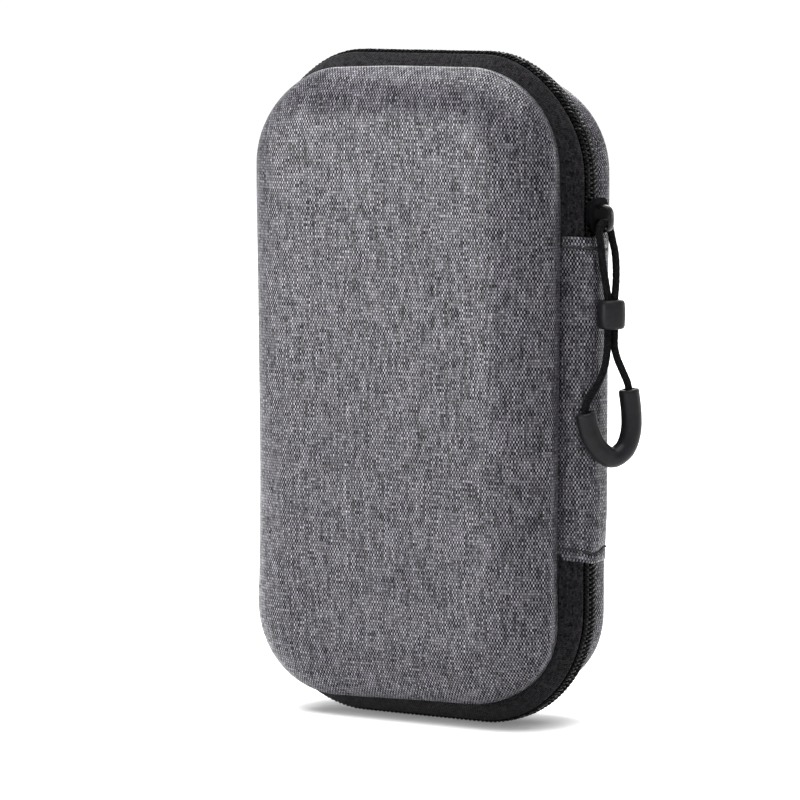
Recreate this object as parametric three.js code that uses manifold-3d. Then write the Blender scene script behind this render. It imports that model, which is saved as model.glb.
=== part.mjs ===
// A small hard zip case, standing on its lower edge with the lid to the front.
// Millimetres, X right, Y back, Z up. The zip runs round in the plane y = 0, and its lowest point is z = 0.
import * as THREE from "three";
import { mergeVertices } from "three/addons/utils/BufferGeometryUtils.js";
import Module from "manifold-3d";

const wasm = await Module();
wasm.setup();

// Outline of the closed case: the zip's outer edge is the widest line
const CASE_WIDTH = 98.5;
const CASE_HEIGHT = 170;
const CASE_DEPTH = 40;
const ZIP_CORNER_RADIUS = 31;

// Seam between each cover and its zip tape
const SEAM_INSET = 5;
const SEAM_FROM_MIDDLE = 8.4;
const SEAM_CORNER_RADIUS = 24;

// Rounded edge of each half's big face
const FACE_EDGE_INWARD = 11;
const FACE_EDGE_DEPTH = 9.5;

// Layers of each half, from the outside in
const COVER_THICKNESS = 0.7;
const FOAM_THICKNESS = 3;
const LINING_THICKNESS = 0.5;
const LAYER_GAP = 0.2;

// Space between neighbouring pieces
const PIECE_GAP = 0.3;

// Zip
const COIL_WIDTH = 2.9;
const COIL_HEIGHT = 2.2;
const COIL_BEVEL = 0.6;
const COIL_LAP = 0.5;
const TAPE_THICKNESS = 0.6;
const TAPE_FLANGE = 4;
const ZIP_END_HIDDEN = 5;
const ZIP_SHOWN_BELOW_PATCH = 11.8;

// Binding over the raw seam inside
const BINDING_THICKNESS = 0.7;
const BINDING_LEG = 3.9;
const BINDING_DROP = 4.2;

// Hinge patch on the right side
const PATCH_THICKNESS = 0.8;
const PATCH_ROUNDNESS = 3;
const LINER_THICKNESS = 0.6;
const LINER_DISH = 2.5;

// Zip slider
const SLIDER_LENGTH = 9.5;
const SLIDER_TRAVEL = 4.4;
const SLIDER_NOSE_WIDTH = 8.6;
const SLIDER_TAIL_WIDTH = 8.2;
const SLIDER_PLATE = 0.95;
const SLIDER_FLANGE = 0.85;
const SLIDER_POST_WIDTH = 0.8;
const SLIDER_POST_LENGTH = 3.5;
const BAIL_LENGTH = 7.2;
const BAIL_WIDTH = 2.2;
const BAIL_THICKNESS = 0.85;
const BAIL_FOOT_GAP = 0.1;
const BAIL_FROM_NOSE = 0.6;

// Cord pull
const CORD_DIAMETER = 1.9;
const CORD_SIDES = 8;
const CORD_STEPS = 48;
const CORD_ABOVE_SLIDER = 0.3;
const CORD_BELOW_BAIL = 0.45;
const CORD_ABOVE_BAIL_FOOT = 1.9;
const PULL_TURN = 60;
const BEAD_DIAMETER = 6.7;
const BEAD_LENGTH = 7.3;
const BEAD_EDGE = 0.9;
const BEAD_CENTRE = [0.53, -2.52, -22.7];
const GRIP_DIAMETER = 5.2;
const GRIP_BORE_GAP = 0.35;
const GRIP_SIDES = 12;
const GRIP_STEPS = 16;

// Inner fittings
const STRAP_WIDTH = 22;
const STRAP_THICKNESS = 1;
const STRAP_LENGTH = 62;
const STRAP_SPACING = 60;
const NET_THICKNESS = 0.5;
const NET_HEIGHT = 101;
const NET_BELOW_RIM = 1.3;
const HEM_WIDTH = 8;
const HEM_THICKNESS = 1.2;

// Smoothness of the curves
const CORNER_STEPS = 6;
const EDGE_STEPS = 4;
const PATCH_STEPS = 10;
const BEAD_SIDES = 16;
const ARC_STEPS = 6;
const SAME_POINT = 1e-4;

// Signs of the two halves along Y
const LID = -1;
const BASE = 1;

// Levels that several pieces share
const HALF_WIDTH = CASE_WIDTH / 2;
const HALF_DEPTH = CASE_DEPTH / 2;
const TAPE_INSET = COIL_HEIGHT + PIECE_GAP;
const TAPE_START = SLIDER_POST_WIDTH / 2 + PIECE_GAP;
const TAPE_BEND = COIL_WIDTH + PIECE_GAP;
const RIM = SEAM_FROM_MIDDLE + PIECE_GAP;
const FOAM_OUTSIDE = COVER_THICKNESS + LAYER_GAP;
const LINING_OUTSIDE = FOAM_OUTSIDE + FOAM_THICKNESS + LAYER_GAP;
const LINING_INSIDE = LINING_OUTSIDE + LINING_THICKNESS;
const FLOOR = HALF_DEPTH - LINING_INSIDE;

// Heights along the right side
const STRAIGHT_TOP = CASE_HEIGHT - ZIP_CORNER_RADIUS;
const STRAIGHT_BOTTOM = ZIP_CORNER_RADIUS;
const SPLIT_TOP = STRAIGHT_TOP - PIECE_GAP;
const SPLIT_BOTTOM = STRAIGHT_BOTTOM + PIECE_GAP;
const SLIDER_TOP = SPLIT_TOP - PIECE_GAP - SLIDER_TRAVEL;
const SLIDER_BOTTOM = SLIDER_TOP - SLIDER_LENGTH;
const PATCH_TOP = SLIDER_BOTTOM - 2 * PIECE_GAP;
const PATCH_BOTTOM = SPLIT_BOTTOM + PIECE_GAP + ZIP_SHOWN_BELOW_PATCH;

// Colours and surfaces
const CLOTH = { color: 0x77767a, roughness: 0.95, metalness: 0 };
const FOAM = { color: 0x2a2a2c, roughness: 0.9, metalness: 0 };
const LINING = { color: 0x1d1d20, roughness: 0.85, metalness: 0 };
const TAPE = { color: 0x131315, roughness: 0.9, metalness: 0 };
const NYLON = { color: 0x17171a, roughness: 0.4, metalness: 0 };
const ENAMEL = { color: 0x101012, roughness: 0.25, metalness: 0.3 };
const RUBBER = { color: 0x2d2d30, roughness: 0.6, metalness: 0 };
const ELASTIC = { color: 0x18181b, roughness: 0.85, metalness: 0 };

const zipCase = new THREE.Group();

function addPiece(name, geometry, surface, parent = zipCase) {
  const mesh = new THREE.Mesh(geometry, new THREE.MeshStandardMaterial(surface));
  mesh.name = name;
  parent.add(mesh);
  return mesh;
}

// Six times the volume that a list of triangles encloses, negative when they face inwards
function signedVolume(points, triangles) {
  let sum = 0;
  for (const [a, b, c] of triangles) {
    sum += points[a].dot(new THREE.Vector3().crossVectors(points[b], points[c]));
  }
  return sum;
}

function solidGeometry(points, triangles) {
  const outward = signedVolume(points, triangles) > 0;
  const index = triangles.flatMap(([a, b, c]) => (outward ? [a, b, c] : [a, c, b]));
  return new THREE.BufferGeometry().setFromPoints(points).setIndex(index);
}

// A closed solid through rows of points. Each row is a closed loop with the same count of points.
// A wrapped solid joins its last row to its first, and any other is capped at both ends.
function loft(rows, cap = null) {
  const count = rows[0].length;
  const points = rows.flat();
  const triangles = [];
  const pairs = cap ? rows.length - 1 : rows.length;
  for (let i = 0; i < pairs; i++) {
    const here = i * count;
    const next = ((i + 1) % rows.length) * count;
    for (let j = 0; j < count; j++) {
      const k = (j + 1) % count;
      triangles.push([here + j, here + k, next + k], [here + j, next + k, next + j]);
    }
  }
  if (cap) {
    const last = (rows.length - 1) * count;
    for (const [a, b, c] of cap) {
      triangles.push([c, b, a], [last + a, last + b, last + c]);
    }
  }
  return solidGeometry(points, triangles);
}

// Cap of a row whose points go round a convex outline
function fanCap(count) {
  return Array.from({ length: count - 2 }, (_, i) => [0, i + 1, i + 2]);
}

// Cap of a row whose points follow a section that may have inner corners
function sectionCap(section) {
  const outline = section.map(([u, v]) => new THREE.Vector2(u, v));
  const triangles = THREE.ShapeUtils.triangulateShape(outline, []);
  return THREE.ShapeUtils.isClockWise(outline) ? triangles.map(([a, b, c]) => [a, c, b]) : triangles;
}

// Corner radius of the case's outline at a distance inside the zip's outer edge
function cornerRadius(inset) {
  if (inset < SEAM_INSET) {
    return THREE.MathUtils.lerp(ZIP_CORNER_RADIUS, SEAM_CORNER_RADIUS, inset / SEAM_INSET);
  }
  return SEAM_CORNER_RADIUS - (inset - SEAM_INSET);
}

// The case's outline in X and Z, from the top right corner over the top and round to the bottom right
function outline(inset) {
  const radius = cornerRadius(inset);
  const right = HALF_WIDTH - inset - radius;
  const top = CASE_HEIGHT - inset - radius;
  const bottom = inset + radius;
  const centres = [
    [right, top],
    [-right, top],
    [-right, bottom],
    [right, bottom],
  ];
  return centres.flatMap(([x, z], corner) =>
    Array.from({ length: CORNER_STEPS + 1 }, (_, i) => {
      const angle = (corner + i / CORNER_STEPS) * (Math.PI / 2);
      return [x + radius * Math.cos(angle), z + radius * Math.sin(angle)];
    }),
  );
}

function loopAt(inset, y) {
  return outline(inset).map(([x, z]) => new THREE.Vector3(x, y, z));
}

// Half of a tray's section from its rim over the rounded edge to the big face, as inset and depth
function traySection(offset) {
  const points = [[SEAM_INSET + offset, RIM]];
  for (let i = 0; i <= EDGE_STEPS; i++) {
    const angle = (i / EDGE_STEPS) * (Math.PI / 2);
    points.push([
      SEAM_INSET + FACE_EDGE_INWARD - (FACE_EDGE_INWARD - offset) * Math.cos(angle),
      HALF_DEPTH - FACE_EDGE_DEPTH + (FACE_EDGE_DEPTH - offset) * Math.sin(angle),
    ]);
  }
  return points;
}

// One layer of a half: a tray between two distances inside the cover's outer face
function tray(half, outside, inside) {
  const section = [...traySection(inside).reverse(), ...traySection(outside)];
  const rows = section.map(([inset, depth]) => loopAt(inset, half * depth));
  return loft(rows, fanCap(rows[0].length));
}

// A piece that goes all the way round the case with one section of insets and depths
function closedBand(half, section) {
  return loft(section.map(([inset, depth]) => loopAt(inset, half * depth)));
}

// A piece that follows the zip from above the slider over the top, round to below the patch
function openBand(half, section) {
  const columns = section.map(([inset, depth]) => {
    const right = HALF_WIDTH - inset;
    const path = [[right, SPLIT_TOP], ...outline(inset), [right, SPLIT_BOTTOM]];
    return path.map(([x, z]) => new THREE.Vector3(x, half * depth, z));
  });
  const rows = columns[0].map((_, i) => columns.map((column) => column[i]));
  return loft(rows, sectionCap(section));
}

// A straight piece on the right side through sections of insets and distances along Y, each at a height
function uprightLoft(sections) {
  const rows = sections.map(([z, section]) =>
    section.map(([inset, y]) => new THREE.Vector3(HALF_WIDTH - inset, y, z)),
  );
  return loft(rows, sectionCap(sections[0][1]));
}

function uprightBand(section, bottom, top) {
  return uprightLoft([
    [bottom, section],
    [top, section],
  ]);
}

// Section of one coil between two distances from the middle plane, flat on its outer edge
function coilSection(near, far) {
  return [
    [0, near],
    [0, far - COIL_BEVEL],
    [COIL_BEVEL, far],
    [COIL_HEIGHT - COIL_BEVEL, far],
    [COIL_HEIGHT, far - COIL_BEVEL],
    [COIL_HEIGHT, near],
  ];
}

// Outer face of the tape's slope at a distance from the middle plane
function tapeInset(depth) {
  const along = (depth - TAPE_BEND) / (SEAM_FROM_MIDDLE - TAPE_BEND);
  return THREE.MathUtils.lerp(TAPE_INSET, SEAM_INSET, along);
}

// Section of a tape whose edge turns inwards at the seam, where it is sewn
function tapeSection() {
  const flange = SEAM_INSET + TAPE_FLANGE;
  const front = SEAM_FROM_MIDDLE - TAPE_THICKNESS;
  return [
    [TAPE_INSET, TAPE_START],
    [TAPE_INSET, TAPE_BEND],
    [SEAM_INSET, SEAM_FROM_MIDDLE],
    [flange, SEAM_FROM_MIDDLE],
    [flange, front],
    [tapeInset(front) + TAPE_THICKNESS, front],
    [TAPE_INSET + TAPE_THICKNESS, TAPE_BEND],
    [TAPE_INSET + TAPE_THICKNESS, TAPE_START],
  ];
}

// Section of a tape's last stretch, out to an edge at a distance from the middle plane
function tapeEndSection(half, edge) {
  const section = [
    [TAPE_INSET, TAPE_START],
    [TAPE_INSET, TAPE_BEND],
    [tapeInset(edge), edge],
    [tapeInset(edge) + TAPE_THICKNESS, edge],
    [TAPE_INSET + TAPE_THICKNESS, TAPE_BEND],
    [TAPE_INSET + TAPE_THICKNESS, TAPE_START],
  ];
  return section.map(([inset, y]) => [inset, half * y]);
}

// A tape's last stretch: it reaches the seam where it shows and is narrower under the patch
function tapeEnd(half, hiddenEnd, patchEdge, shownEnd) {
  const narrow = tapeEndSection(half, SEAM_FROM_MIDDLE - PATCH_THICKNESS - 2 * PIECE_GAP);
  const wide = tapeEndSection(half, SEAM_FROM_MIDDLE);
  const clear = patchEdge + Math.sign(shownEnd - hiddenEnd) * PIECE_GAP;
  return uprightLoft([
    [hiddenEnd, narrow],
    [patchEdge, narrow],
    [clear, wide],
    [shownEnd, wide],
  ]);
}

// Section of the binding: a leg over the seam and a drop over the lining's rim
function bindingSection() {
  const inner = SEAM_INSET + LINING_INSIDE + PIECE_GAP + BINDING_THICKNESS;
  const leg = inner - BINDING_LEG;
  const back = SEAM_FROM_MIDDLE - TAPE_THICKNESS - PIECE_GAP;
  const front = back - BINDING_THICKNESS;
  return [
    [leg, front],
    [leg, back],
    [inner - BINDING_THICKNESS, back],
    [inner - BINDING_THICKNESS, front + BINDING_DROP],
    [inner, front + BINDING_DROP],
    [inner, front],
  ];
}

// A strip across the hinge: its face inset is a formula of the distance from the middle, -1 to 1
function stripSection(halfWidth, thickness, faceInset) {
  const steps = Array.from({ length: PATCH_STEPS + 1 }, (_, i) => (2 * i) / PATCH_STEPS - 1);
  const face = steps.map((t) => [faceInset(t), t * halfWidth]);
  const back = face.map(([inset, y]) => [inset + thickness, y]).reverse();
  return [...face, ...back];
}

// A manifold solid of a geometry whose shared points are merged
function manifoldOf(geometry) {
  const plain = geometry.index ? geometry.toNonIndexed() : geometry.clone();
  plain.deleteAttribute("normal");
  plain.deleteAttribute("uv");
  const merged = mergeVertices(plain, SAME_POINT);
  return new wasm.Manifold(
    new wasm.Mesh({
      numProp: 3,
      vertProperties: new Float32Array(merged.attributes.position.array),
      triVerts: new Uint32Array(merged.index.array),
    }),
  );
}

function geometryOf(manifold) {
  const mesh = manifold.getMesh();
  return new THREE.BufferGeometry()
    .setAttribute("position", new THREE.BufferAttribute(mesh.vertProperties, 3))
    .setIndex(new THREE.BufferAttribute(mesh.triVerts, 1));
}

// A flat shape drawn in two axes and given a thickness along a third
function prism(shape, thickness, drawnRight, drawnUp, along) {
  const basis = new THREE.Matrix4().makeBasis(drawnRight, drawnUp, along);
  const options = { depth: thickness, bevelEnabled: false, curveSegments: ARC_STEPS };
  return new THREE.ExtrudeGeometry(shape, options).applyMatrix4(basis);
}

const X = new THREE.Vector3(1, 0, 0);
const Y = new THREE.Vector3(0, 1, 0);
const Z = new THREE.Vector3(0, 0, 1);

// Two moulded halves, each a foam shell between its cover and its lining
for (const [name, half] of [
  ["lid", LID],
  ["base", BASE],
]) {
  const shell = tray(half, FOAM_OUTSIDE, FOAM_OUTSIDE + FOAM_THICKNESS);
  addPiece(`${name}_cover`, tray(half, 0, COVER_THICKNESS), CLOTH);
  addPiece(`${name}_shell`, shell, FOAM);
  addPiece(`${name}_lining`, tray(half, LINING_OUTSIDE, LINING_INSIDE), LINING);
  addPiece(`${name}_binding`, closedBand(half, bindingSection()), TAPE);
  addPiece(`${name}_zip_tape`, openBand(half, tapeSection()), TAPE);
}

// Coils: the back one reaches past the middle, where the two interlock
addPiece("base_zip_coil", openBand(BASE, coilSection(-COIL_LAP, COIL_WIDTH)), NYLON);
addPiece("lid_zip_coil", openBand(LID, coilSection(COIL_LAP + PIECE_GAP, COIL_WIDTH)), NYLON);

// Last straight stretches of both tapes and coils, above and below the patch
for (const [name, hiddenEnd, patchEdge, shownEnd] of [
  ["upper", PATCH_TOP - ZIP_END_HIDDEN, PATCH_TOP, SPLIT_TOP - PIECE_GAP],
  ["lower", PATCH_BOTTOM + ZIP_END_HIDDEN, PATCH_BOTTOM, SPLIT_BOTTOM + PIECE_GAP],
]) {
  for (const [side, half] of [
    ["front", LID],
    ["rear", BASE],
  ]) {
    const coil = coilSection(TAPE_START, COIL_WIDTH).map(([inset, y]) => [inset, half * y]);
    addPiece(`zip_tape_end_${name}_${side}`, tapeEnd(half, hiddenEnd, patchEdge, shownEnd), TAPE);
    addPiece(`zip_coil_end_${name}_${side}`, uprightBand(coil, hiddenEnd, shownEnd), NYLON);
  }
}

// Hinge patch, domed over the coil, and the liner behind the tapes
const patchRise = SEAM_INSET + PIECE_GAP + PATCH_THICKNESS;
const patchSection = stripSection(SEAM_FROM_MIDDLE - PIECE_GAP, PATCH_THICKNESS, (t) => {
  return SEAM_INSET - patchRise * (1 - Math.abs(t) ** PATCH_ROUNDNESS);
});
addPiece("hinge_patch", uprightBand(patchSection, PATCH_BOTTOM, PATCH_TOP), CLOTH);

const bindingFront = SEAM_FROM_MIDDLE - TAPE_THICKNESS - PIECE_GAP - BINDING_THICKNESS;
const linerInset = TAPE_INSET + TAPE_THICKNESS + PIECE_GAP;
const linerSection = stripSection(bindingFront - PIECE_GAP, LINER_THICKNESS, (t) => {
  return linerInset + LINER_DISH * t * t;
});
addPiece("hinge_liner", uprightBand(linerSection, PATCH_BOTTOM, PATCH_TOP), LINING);

// Slider: two plates either side of the chain, joined by the post between the coils
function sliderPlate(nose, tail) {
  const shape = new THREE.Shape();
  const shoulder = SLIDER_BOTTOM + SLIDER_POST_LENGTH;
  shape.moveTo(-nose, shoulder);
  shape.quadraticCurveTo(-nose, SLIDER_BOTTOM, 0, SLIDER_BOTTOM);
  shape.quadraticCurveTo(nose, SLIDER_BOTTOM, nose, shoulder);
  shape.lineTo(tail, SLIDER_TOP);
  shape.lineTo(-tail, SLIDER_TOP);
  shape.closePath();
  return shape;
}

function boxBetween(low, high) {
  const size = high.map((value, axis) => value - low[axis]);
  const centre = high.map((value, axis) => (value + low[axis]) / 2);
  return new THREE.BoxGeometry(...size).translate(...centre);
}

const plateInside = HALF_WIDTH + PIECE_GAP;
const plateOutside = plateInside + SLIDER_PLATE;
const backPlateOutside = HALF_WIDTH - TAPE_INSET - TAPE_THICKNESS - PIECE_GAP;
const backPlateInside = backPlateOutside - SLIDER_PLATE;
const postHalf = SLIDER_POST_WIDTH / 2;
const postBottom = SLIDER_BOTTOM + SLIDER_PLATE;
const flangeInside = COIL_WIDTH + PIECE_GAP;
const flangeEnd = HALF_WIDTH - TAPE_INSET + PIECE_GAP;
const outerPlateShape = sliderPlate(SLIDER_NOSE_WIDTH / 2, SLIDER_TAIL_WIDTH / 2);
const innerPlateShape = sliderPlate(TAPE_BEND, TAPE_BEND);
const outerPlate = prism(outerPlateShape, SLIDER_PLATE, Y, Z, X).translate(plateInside, 0, 0);
const innerPlate = prism(innerPlateShape, SLIDER_PLATE, Y, Z, X).translate(backPlateInside, 0, 0);
const post = boxBetween(
  [backPlateOutside - SLIDER_PLATE / 2, -postHalf, postBottom],
  [plateInside + SLIDER_PLATE / 2, postHalf, postBottom + SLIDER_POST_LENGTH],
);
const flanges = [-flangeInside - SLIDER_FLANGE, flangeInside].map((y) =>
  boxBetween(
    [flangeEnd, y, SLIDER_BOTTOM + SLIDER_POST_LENGTH],
    [plateInside + SLIDER_PLATE / 2, y + SLIDER_FLANGE, SLIDER_TOP],
  ),
);
const sliderSolid = [innerPlate, post, ...flanges].reduce(
  (solid, piece) => solid.add(manifoldOf(piece)),
  manifoldOf(outerPlate),
);
addPiece("slider_body", geometryOf(sliderSolid), ENAMEL);

// Bail: an arch along the slider that the cord passes under
const bailFoot = plateOutside + BAIL_FOOT_GAP;
const cordAxis = plateOutside + CORD_ABOVE_SLIDER + CORD_DIAMETER / 2;
const bailUnder = cordAxis + CORD_DIAMETER / 2 + CORD_BELOW_BAIL;
const bailTop = bailUnder + BAIL_THICKNESS;
const bailBottom = SLIDER_BOTTOM + BAIL_FROM_NOSE;
const bailEnd = bailBottom + BAIL_LENGTH;
const archRound = (bailTop - bailFoot) / 2;
const arch = new THREE.Shape();
arch.moveTo(bailBottom, bailFoot);
arch.lineTo(bailBottom, bailFoot + archRound);
arch.quadraticCurveTo(bailBottom, bailTop, bailBottom + archRound, bailTop);
arch.lineTo(bailEnd - archRound, bailTop);
arch.quadraticCurveTo(bailEnd, bailTop, bailEnd, bailFoot + archRound);
arch.lineTo(bailEnd, bailFoot);
arch.lineTo(bailEnd - BAIL_THICKNESS, bailFoot);
arch.lineTo(bailEnd - BAIL_THICKNESS, bailUnder);
arch.lineTo(bailBottom + BAIL_THICKNESS, bailUnder);
arch.lineTo(bailBottom + BAIL_THICKNESS, bailFoot);
arch.closePath();
addPiece("slider_bail", prism(arch, BAIL_WIDTH, Z, X, Y).translate(0, -BAIL_WIDTH / 2, 0), ENAMEL);

// Cord pull: its group hangs at the cord's place under the bail, turned to the plane of the grip.
// Its own X runs along the grip from the front arm to the rear one, and its Y points at the case.
const pull = new THREE.Group();
pull.position.set(cordAxis, 0, bailBottom + BAIL_THICKNESS + CORD_ABOVE_BAIL_FOOT);
pull.rotation.z = THREE.MathUtils.degToRad(PULL_TURN);
zipCase.add(pull);

// Route of the grip's tube, from the mouth of its front arm round to the mouth of its rear arm
const GRIP_ROUTE = [
  [-6.95, -3.08, -46.8],
  [-5.85, -3.08, -51.4],
  [-3.5, -3.08, -55.7],
  [0.45, -3.08, -58.3],
  [4.05, -3.08, -56.5],
  [5.85, -3.08, -52.4],
  [6.05, -3.08, -47.9],
  [5.25, -3.08, -41.4],
];

// Route of the cord, from inside the front arm up through the sleeve, over the bail and back down
const CORD_ROUTE = [
  [-6.28, -3.08, -49.9],
  [-6.95, -3.08, -46.8],
  [-6.85, -3.08, -45.3],
  [-6.1, -3.08, -43.6],
  [-3.8, -3.08, -40.3],
  [-1.7, -3.05, -36.1],
  [-0.68, -2.8, -31.3],
  [-0.44, -2.52, -27.4],
  [-0.44, -2.52, -23.4],
  [-0.44, -2.52, -18.8],
  [-0.93, -2.2, -14.6],
  [-1.53, -1.8, -10.2],
  [-2.03, -2.03, -6.9],
  [-2.24, -1.93, -4.9],
  [-2.33, -1.46, -2.6],
  [-1.86, -1.08, -0.8],
  [-1.04, -0.6, -0.12],
  [0, 0, 0],
  [1.04, 0.6, -0.12],
  [1.86, 1.08, -0.8],
  [2.43, 1.29, -2.6],
  [2.79, 0.97, -4.9],
  [3.04, 0.43, -6.9],
  [3.04, -0.27, -10.1],
  [2.46, -1.4, -14.7],
  [1.5, -2.52, -18.8],
  [1.5, -2.52, -23.4],
  [1.5, -2.52, -27.4],
  [1.37, -2.75, -30.7],
  [1.97, -3, -33.5],
  [3.37, -3.08, -36.6],
  [4.92, -3.08, -39.9],
  [5.25, -3.08, -41.4],
  [5.59, -3.08, -44.2],
];

function curveThrough(points) {
  return new THREE.CatmullRomCurve3(points.map((point) => new THREE.Vector3(...point)));
}

function polygonPath(radius, sides, path = new THREE.Path()) {
  const points = Array.from({ length: sides }, (_, i) => {
    const angle = (2 * Math.PI * i) / sides;
    return new THREE.Vector2(radius * Math.cos(angle), radius * Math.sin(angle));
  });
  return path.setFromPoints(points);
}

const cordShape = polygonPath(CORD_DIAMETER / 2, CORD_SIDES, new THREE.Shape());
const cord = new THREE.ExtrudeGeometry(cordShape, {
  steps: CORD_STEPS,
  bevelEnabled: false,
  extrudePath: curveThrough(CORD_ROUTE),
});
addPiece("pull_cord", cord, TAPE, pull);

const gripShape = polygonPath(GRIP_DIAMETER / 2, GRIP_SIDES, new THREE.Shape());
gripShape.holes.push(polygonPath(CORD_DIAMETER / 2 + GRIP_BORE_GAP, CORD_SIDES));
const grip = new THREE.ExtrudeGeometry(gripShape, {
  steps: GRIP_STEPS,
  bevelEnabled: false,
  extrudePath: curveThrough(GRIP_ROUTE),
});
addPiece("pull_grip", grip, RUBBER, pull);

// Sleeve on the two strands: a rounded barrel with a slot for both
const beadProfile = [
  [0, -BEAD_LENGTH / 2],
  [BEAD_DIAMETER / 2 - BEAD_EDGE, -BEAD_LENGTH / 2],
  [BEAD_DIAMETER / 2, -BEAD_LENGTH / 2 + BEAD_EDGE],
  [BEAD_DIAMETER / 2, BEAD_LENGTH / 2 - BEAD_EDGE],
  [BEAD_DIAMETER / 2 - BEAD_EDGE, BEAD_LENGTH / 2],
  [0, BEAD_LENGTH / 2],
].map(([radius, height]) => new THREE.Vector2(radius, height));
const barrel = new THREE.LatheGeometry(beadProfile, BEAD_SIDES).rotateX(Math.PI / 2);
const slotRadius = CORD_DIAMETER / 2 + PIECE_GAP;
const slot = new THREE.Shape();
slot.absarc(CORD_DIAMETER / 2, 0, slotRadius, -Math.PI / 2, Math.PI / 2);
slot.absarc(-CORD_DIAMETER / 2, 0, slotRadius, Math.PI / 2, (3 * Math.PI) / 2);
const slotCutter = prism(slot, 2 * BEAD_LENGTH, X, Y, Z).translate(0, 0, -BEAD_LENGTH);
const sleeve = manifoldOf(barrel).subtract(manifoldOf(slotCutter));
const bead = addPiece("pull_bead", geometryOf(sleeve), RUBBER, pull);
bead.position.set(...BEAD_CENTRE);

// Elastic straps across the base's floor
const strapBack = FLOOR - PIECE_GAP;
for (const [name, side] of [
  ["upper", 1],
  ["lower", -1],
]) {
  const z = (CASE_HEIGHT + side * STRAP_SPACING) / 2;
  const strap = boxBetween(
    [-STRAP_LENGTH / 2, strapBack - STRAP_THICKNESS, z - STRAP_WIDTH / 2],
    [STRAP_LENGTH / 2, strapBack, z + STRAP_WIDTH / 2],
  );
  addPiece(`elastic_strap_${name}`, strap, ELASTIC);
}

// Net pocket in the lid, sewn in under the binding, with an elastic hem along its top edge
const netInset = SEAM_INSET + LINING_INSIDE + 2 * PIECE_GAP + BINDING_THICKNESS;
const netFront = RIM + NET_BELOW_RIM;
const netTop = netInset + NET_HEIGHT;
const netHalfWidth = HALF_WIDTH - netInset;
const netRadius = cornerRadius(netInset);
const net = new THREE.Shape();
net.moveTo(netHalfWidth, netTop);
net.lineTo(-netHalfWidth, netTop);
net.lineTo(-netHalfWidth, netInset + netRadius);
net.absarc(netRadius - netHalfWidth, netInset + netRadius, netRadius, Math.PI, (3 * Math.PI) / 2);
net.absarc(netHalfWidth - netRadius, netInset + netRadius, netRadius, (3 * Math.PI) / 2, 2 * Math.PI);
net.closePath();
const netPanel = prism(net, NET_THICKNESS, X, Z, Y.clone().negate()).translate(0, -netFront, 0);
addPiece("mesh_pocket", netPanel, ELASTIC);

const hemMiddle = netFront + NET_THICKNESS / 2;
const hem = boxBetween(
  [-netHalfWidth, -hemMiddle - HEM_THICKNESS / 2, netTop + PIECE_GAP],
  [netHalfWidth, -hemMiddle + HEM_THICKNESS / 2, netTop + PIECE_GAP + HEM_WIDTH],
);
addPiece("mesh_pocket_hem", hem, ELASTIC);

export default zipCase;
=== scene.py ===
"""A hard zip case in grey melange cloth, with its coil zip, hinge patch, cord pull and interior.

Lengths are millimetres in the part's own frame, and become metres where a mesh is made.
x runs across the case, y through its depth with the lid at -y, and z up. The hinge patch
is on the +x side. An inset is a distance inwards from the zip's outer edge.
"""
import math
from types import SimpleNamespace

import bmesh
import bpy
import numpy as np
from mathutils import Matrix, Vector, noise


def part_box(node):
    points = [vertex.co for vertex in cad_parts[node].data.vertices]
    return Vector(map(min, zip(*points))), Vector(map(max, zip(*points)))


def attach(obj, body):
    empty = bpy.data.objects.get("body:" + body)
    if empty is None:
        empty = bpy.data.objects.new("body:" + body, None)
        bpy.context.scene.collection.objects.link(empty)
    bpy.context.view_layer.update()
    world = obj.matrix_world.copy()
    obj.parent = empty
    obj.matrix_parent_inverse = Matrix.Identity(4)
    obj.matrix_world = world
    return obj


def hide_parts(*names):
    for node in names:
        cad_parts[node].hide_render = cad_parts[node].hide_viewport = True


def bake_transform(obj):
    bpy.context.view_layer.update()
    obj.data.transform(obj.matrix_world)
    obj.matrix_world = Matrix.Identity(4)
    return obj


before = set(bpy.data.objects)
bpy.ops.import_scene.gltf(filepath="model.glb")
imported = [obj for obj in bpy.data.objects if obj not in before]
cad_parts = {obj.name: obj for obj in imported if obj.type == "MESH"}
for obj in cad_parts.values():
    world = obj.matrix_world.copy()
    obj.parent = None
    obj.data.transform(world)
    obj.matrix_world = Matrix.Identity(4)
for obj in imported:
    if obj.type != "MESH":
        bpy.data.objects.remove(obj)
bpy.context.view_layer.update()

MM = 0.001
SHARP_ANGLE = math.radians(55)
CURVE_STEPS = 24


def node_box(node):
    """Lowest and highest corner of a CAD node, in millimetres."""
    low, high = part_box(node)
    return np.array(low) / MM, np.array(high) / MM


# Sizes that the frame gives
_, coil_high = node_box("base_zip_coil")
cover_low, cover_high = node_box("base_cover")
_, tape_high = node_box("base_zip_tape")
patch_low, patch_high = node_box("hinge_patch")
liner_low, liner_high = node_box("hinge_liner")
net_low, net_high = node_box("mesh_pocket")
hem_low, hem_high = node_box("mesh_pocket_hem")
slider_low, slider_high = node_box("slider_body")
bail_low, bail_high = node_box("slider_bail")
HALF_WIDTH = coil_high[0]
HEIGHT = coil_high[2]
RIM = cover_low[1]
HALF_DEPTH = cover_high[1]
SEAM_INSET = HALF_WIDTH - cover_high[0]
SEAM_Y = tape_high[1]
PATCH_FOOT, PATCH_TOP, PATCH_HALF = patch_low[2], patch_high[2], patch_high[1]
HALVES = (("lid", -1), ("base", 1))

# Outline of the case
ZIP_CORNER, SEAM_CORNER = 31.0, 24.0
CORNER_STEPS, SPLIT_STEPS = 18, 5
LONG_STEPS, SHORT_STEPS, SIDE_STEPS = 24, 12, 20
LEAST_RADIUS = 0.4
ZIP_STEPS = 12
CORNER_DRAW, DRAW_SIDE, DRAW_HEIGHT = 1.5, (20.0, 49.0), (135.0, 170.0)

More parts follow.
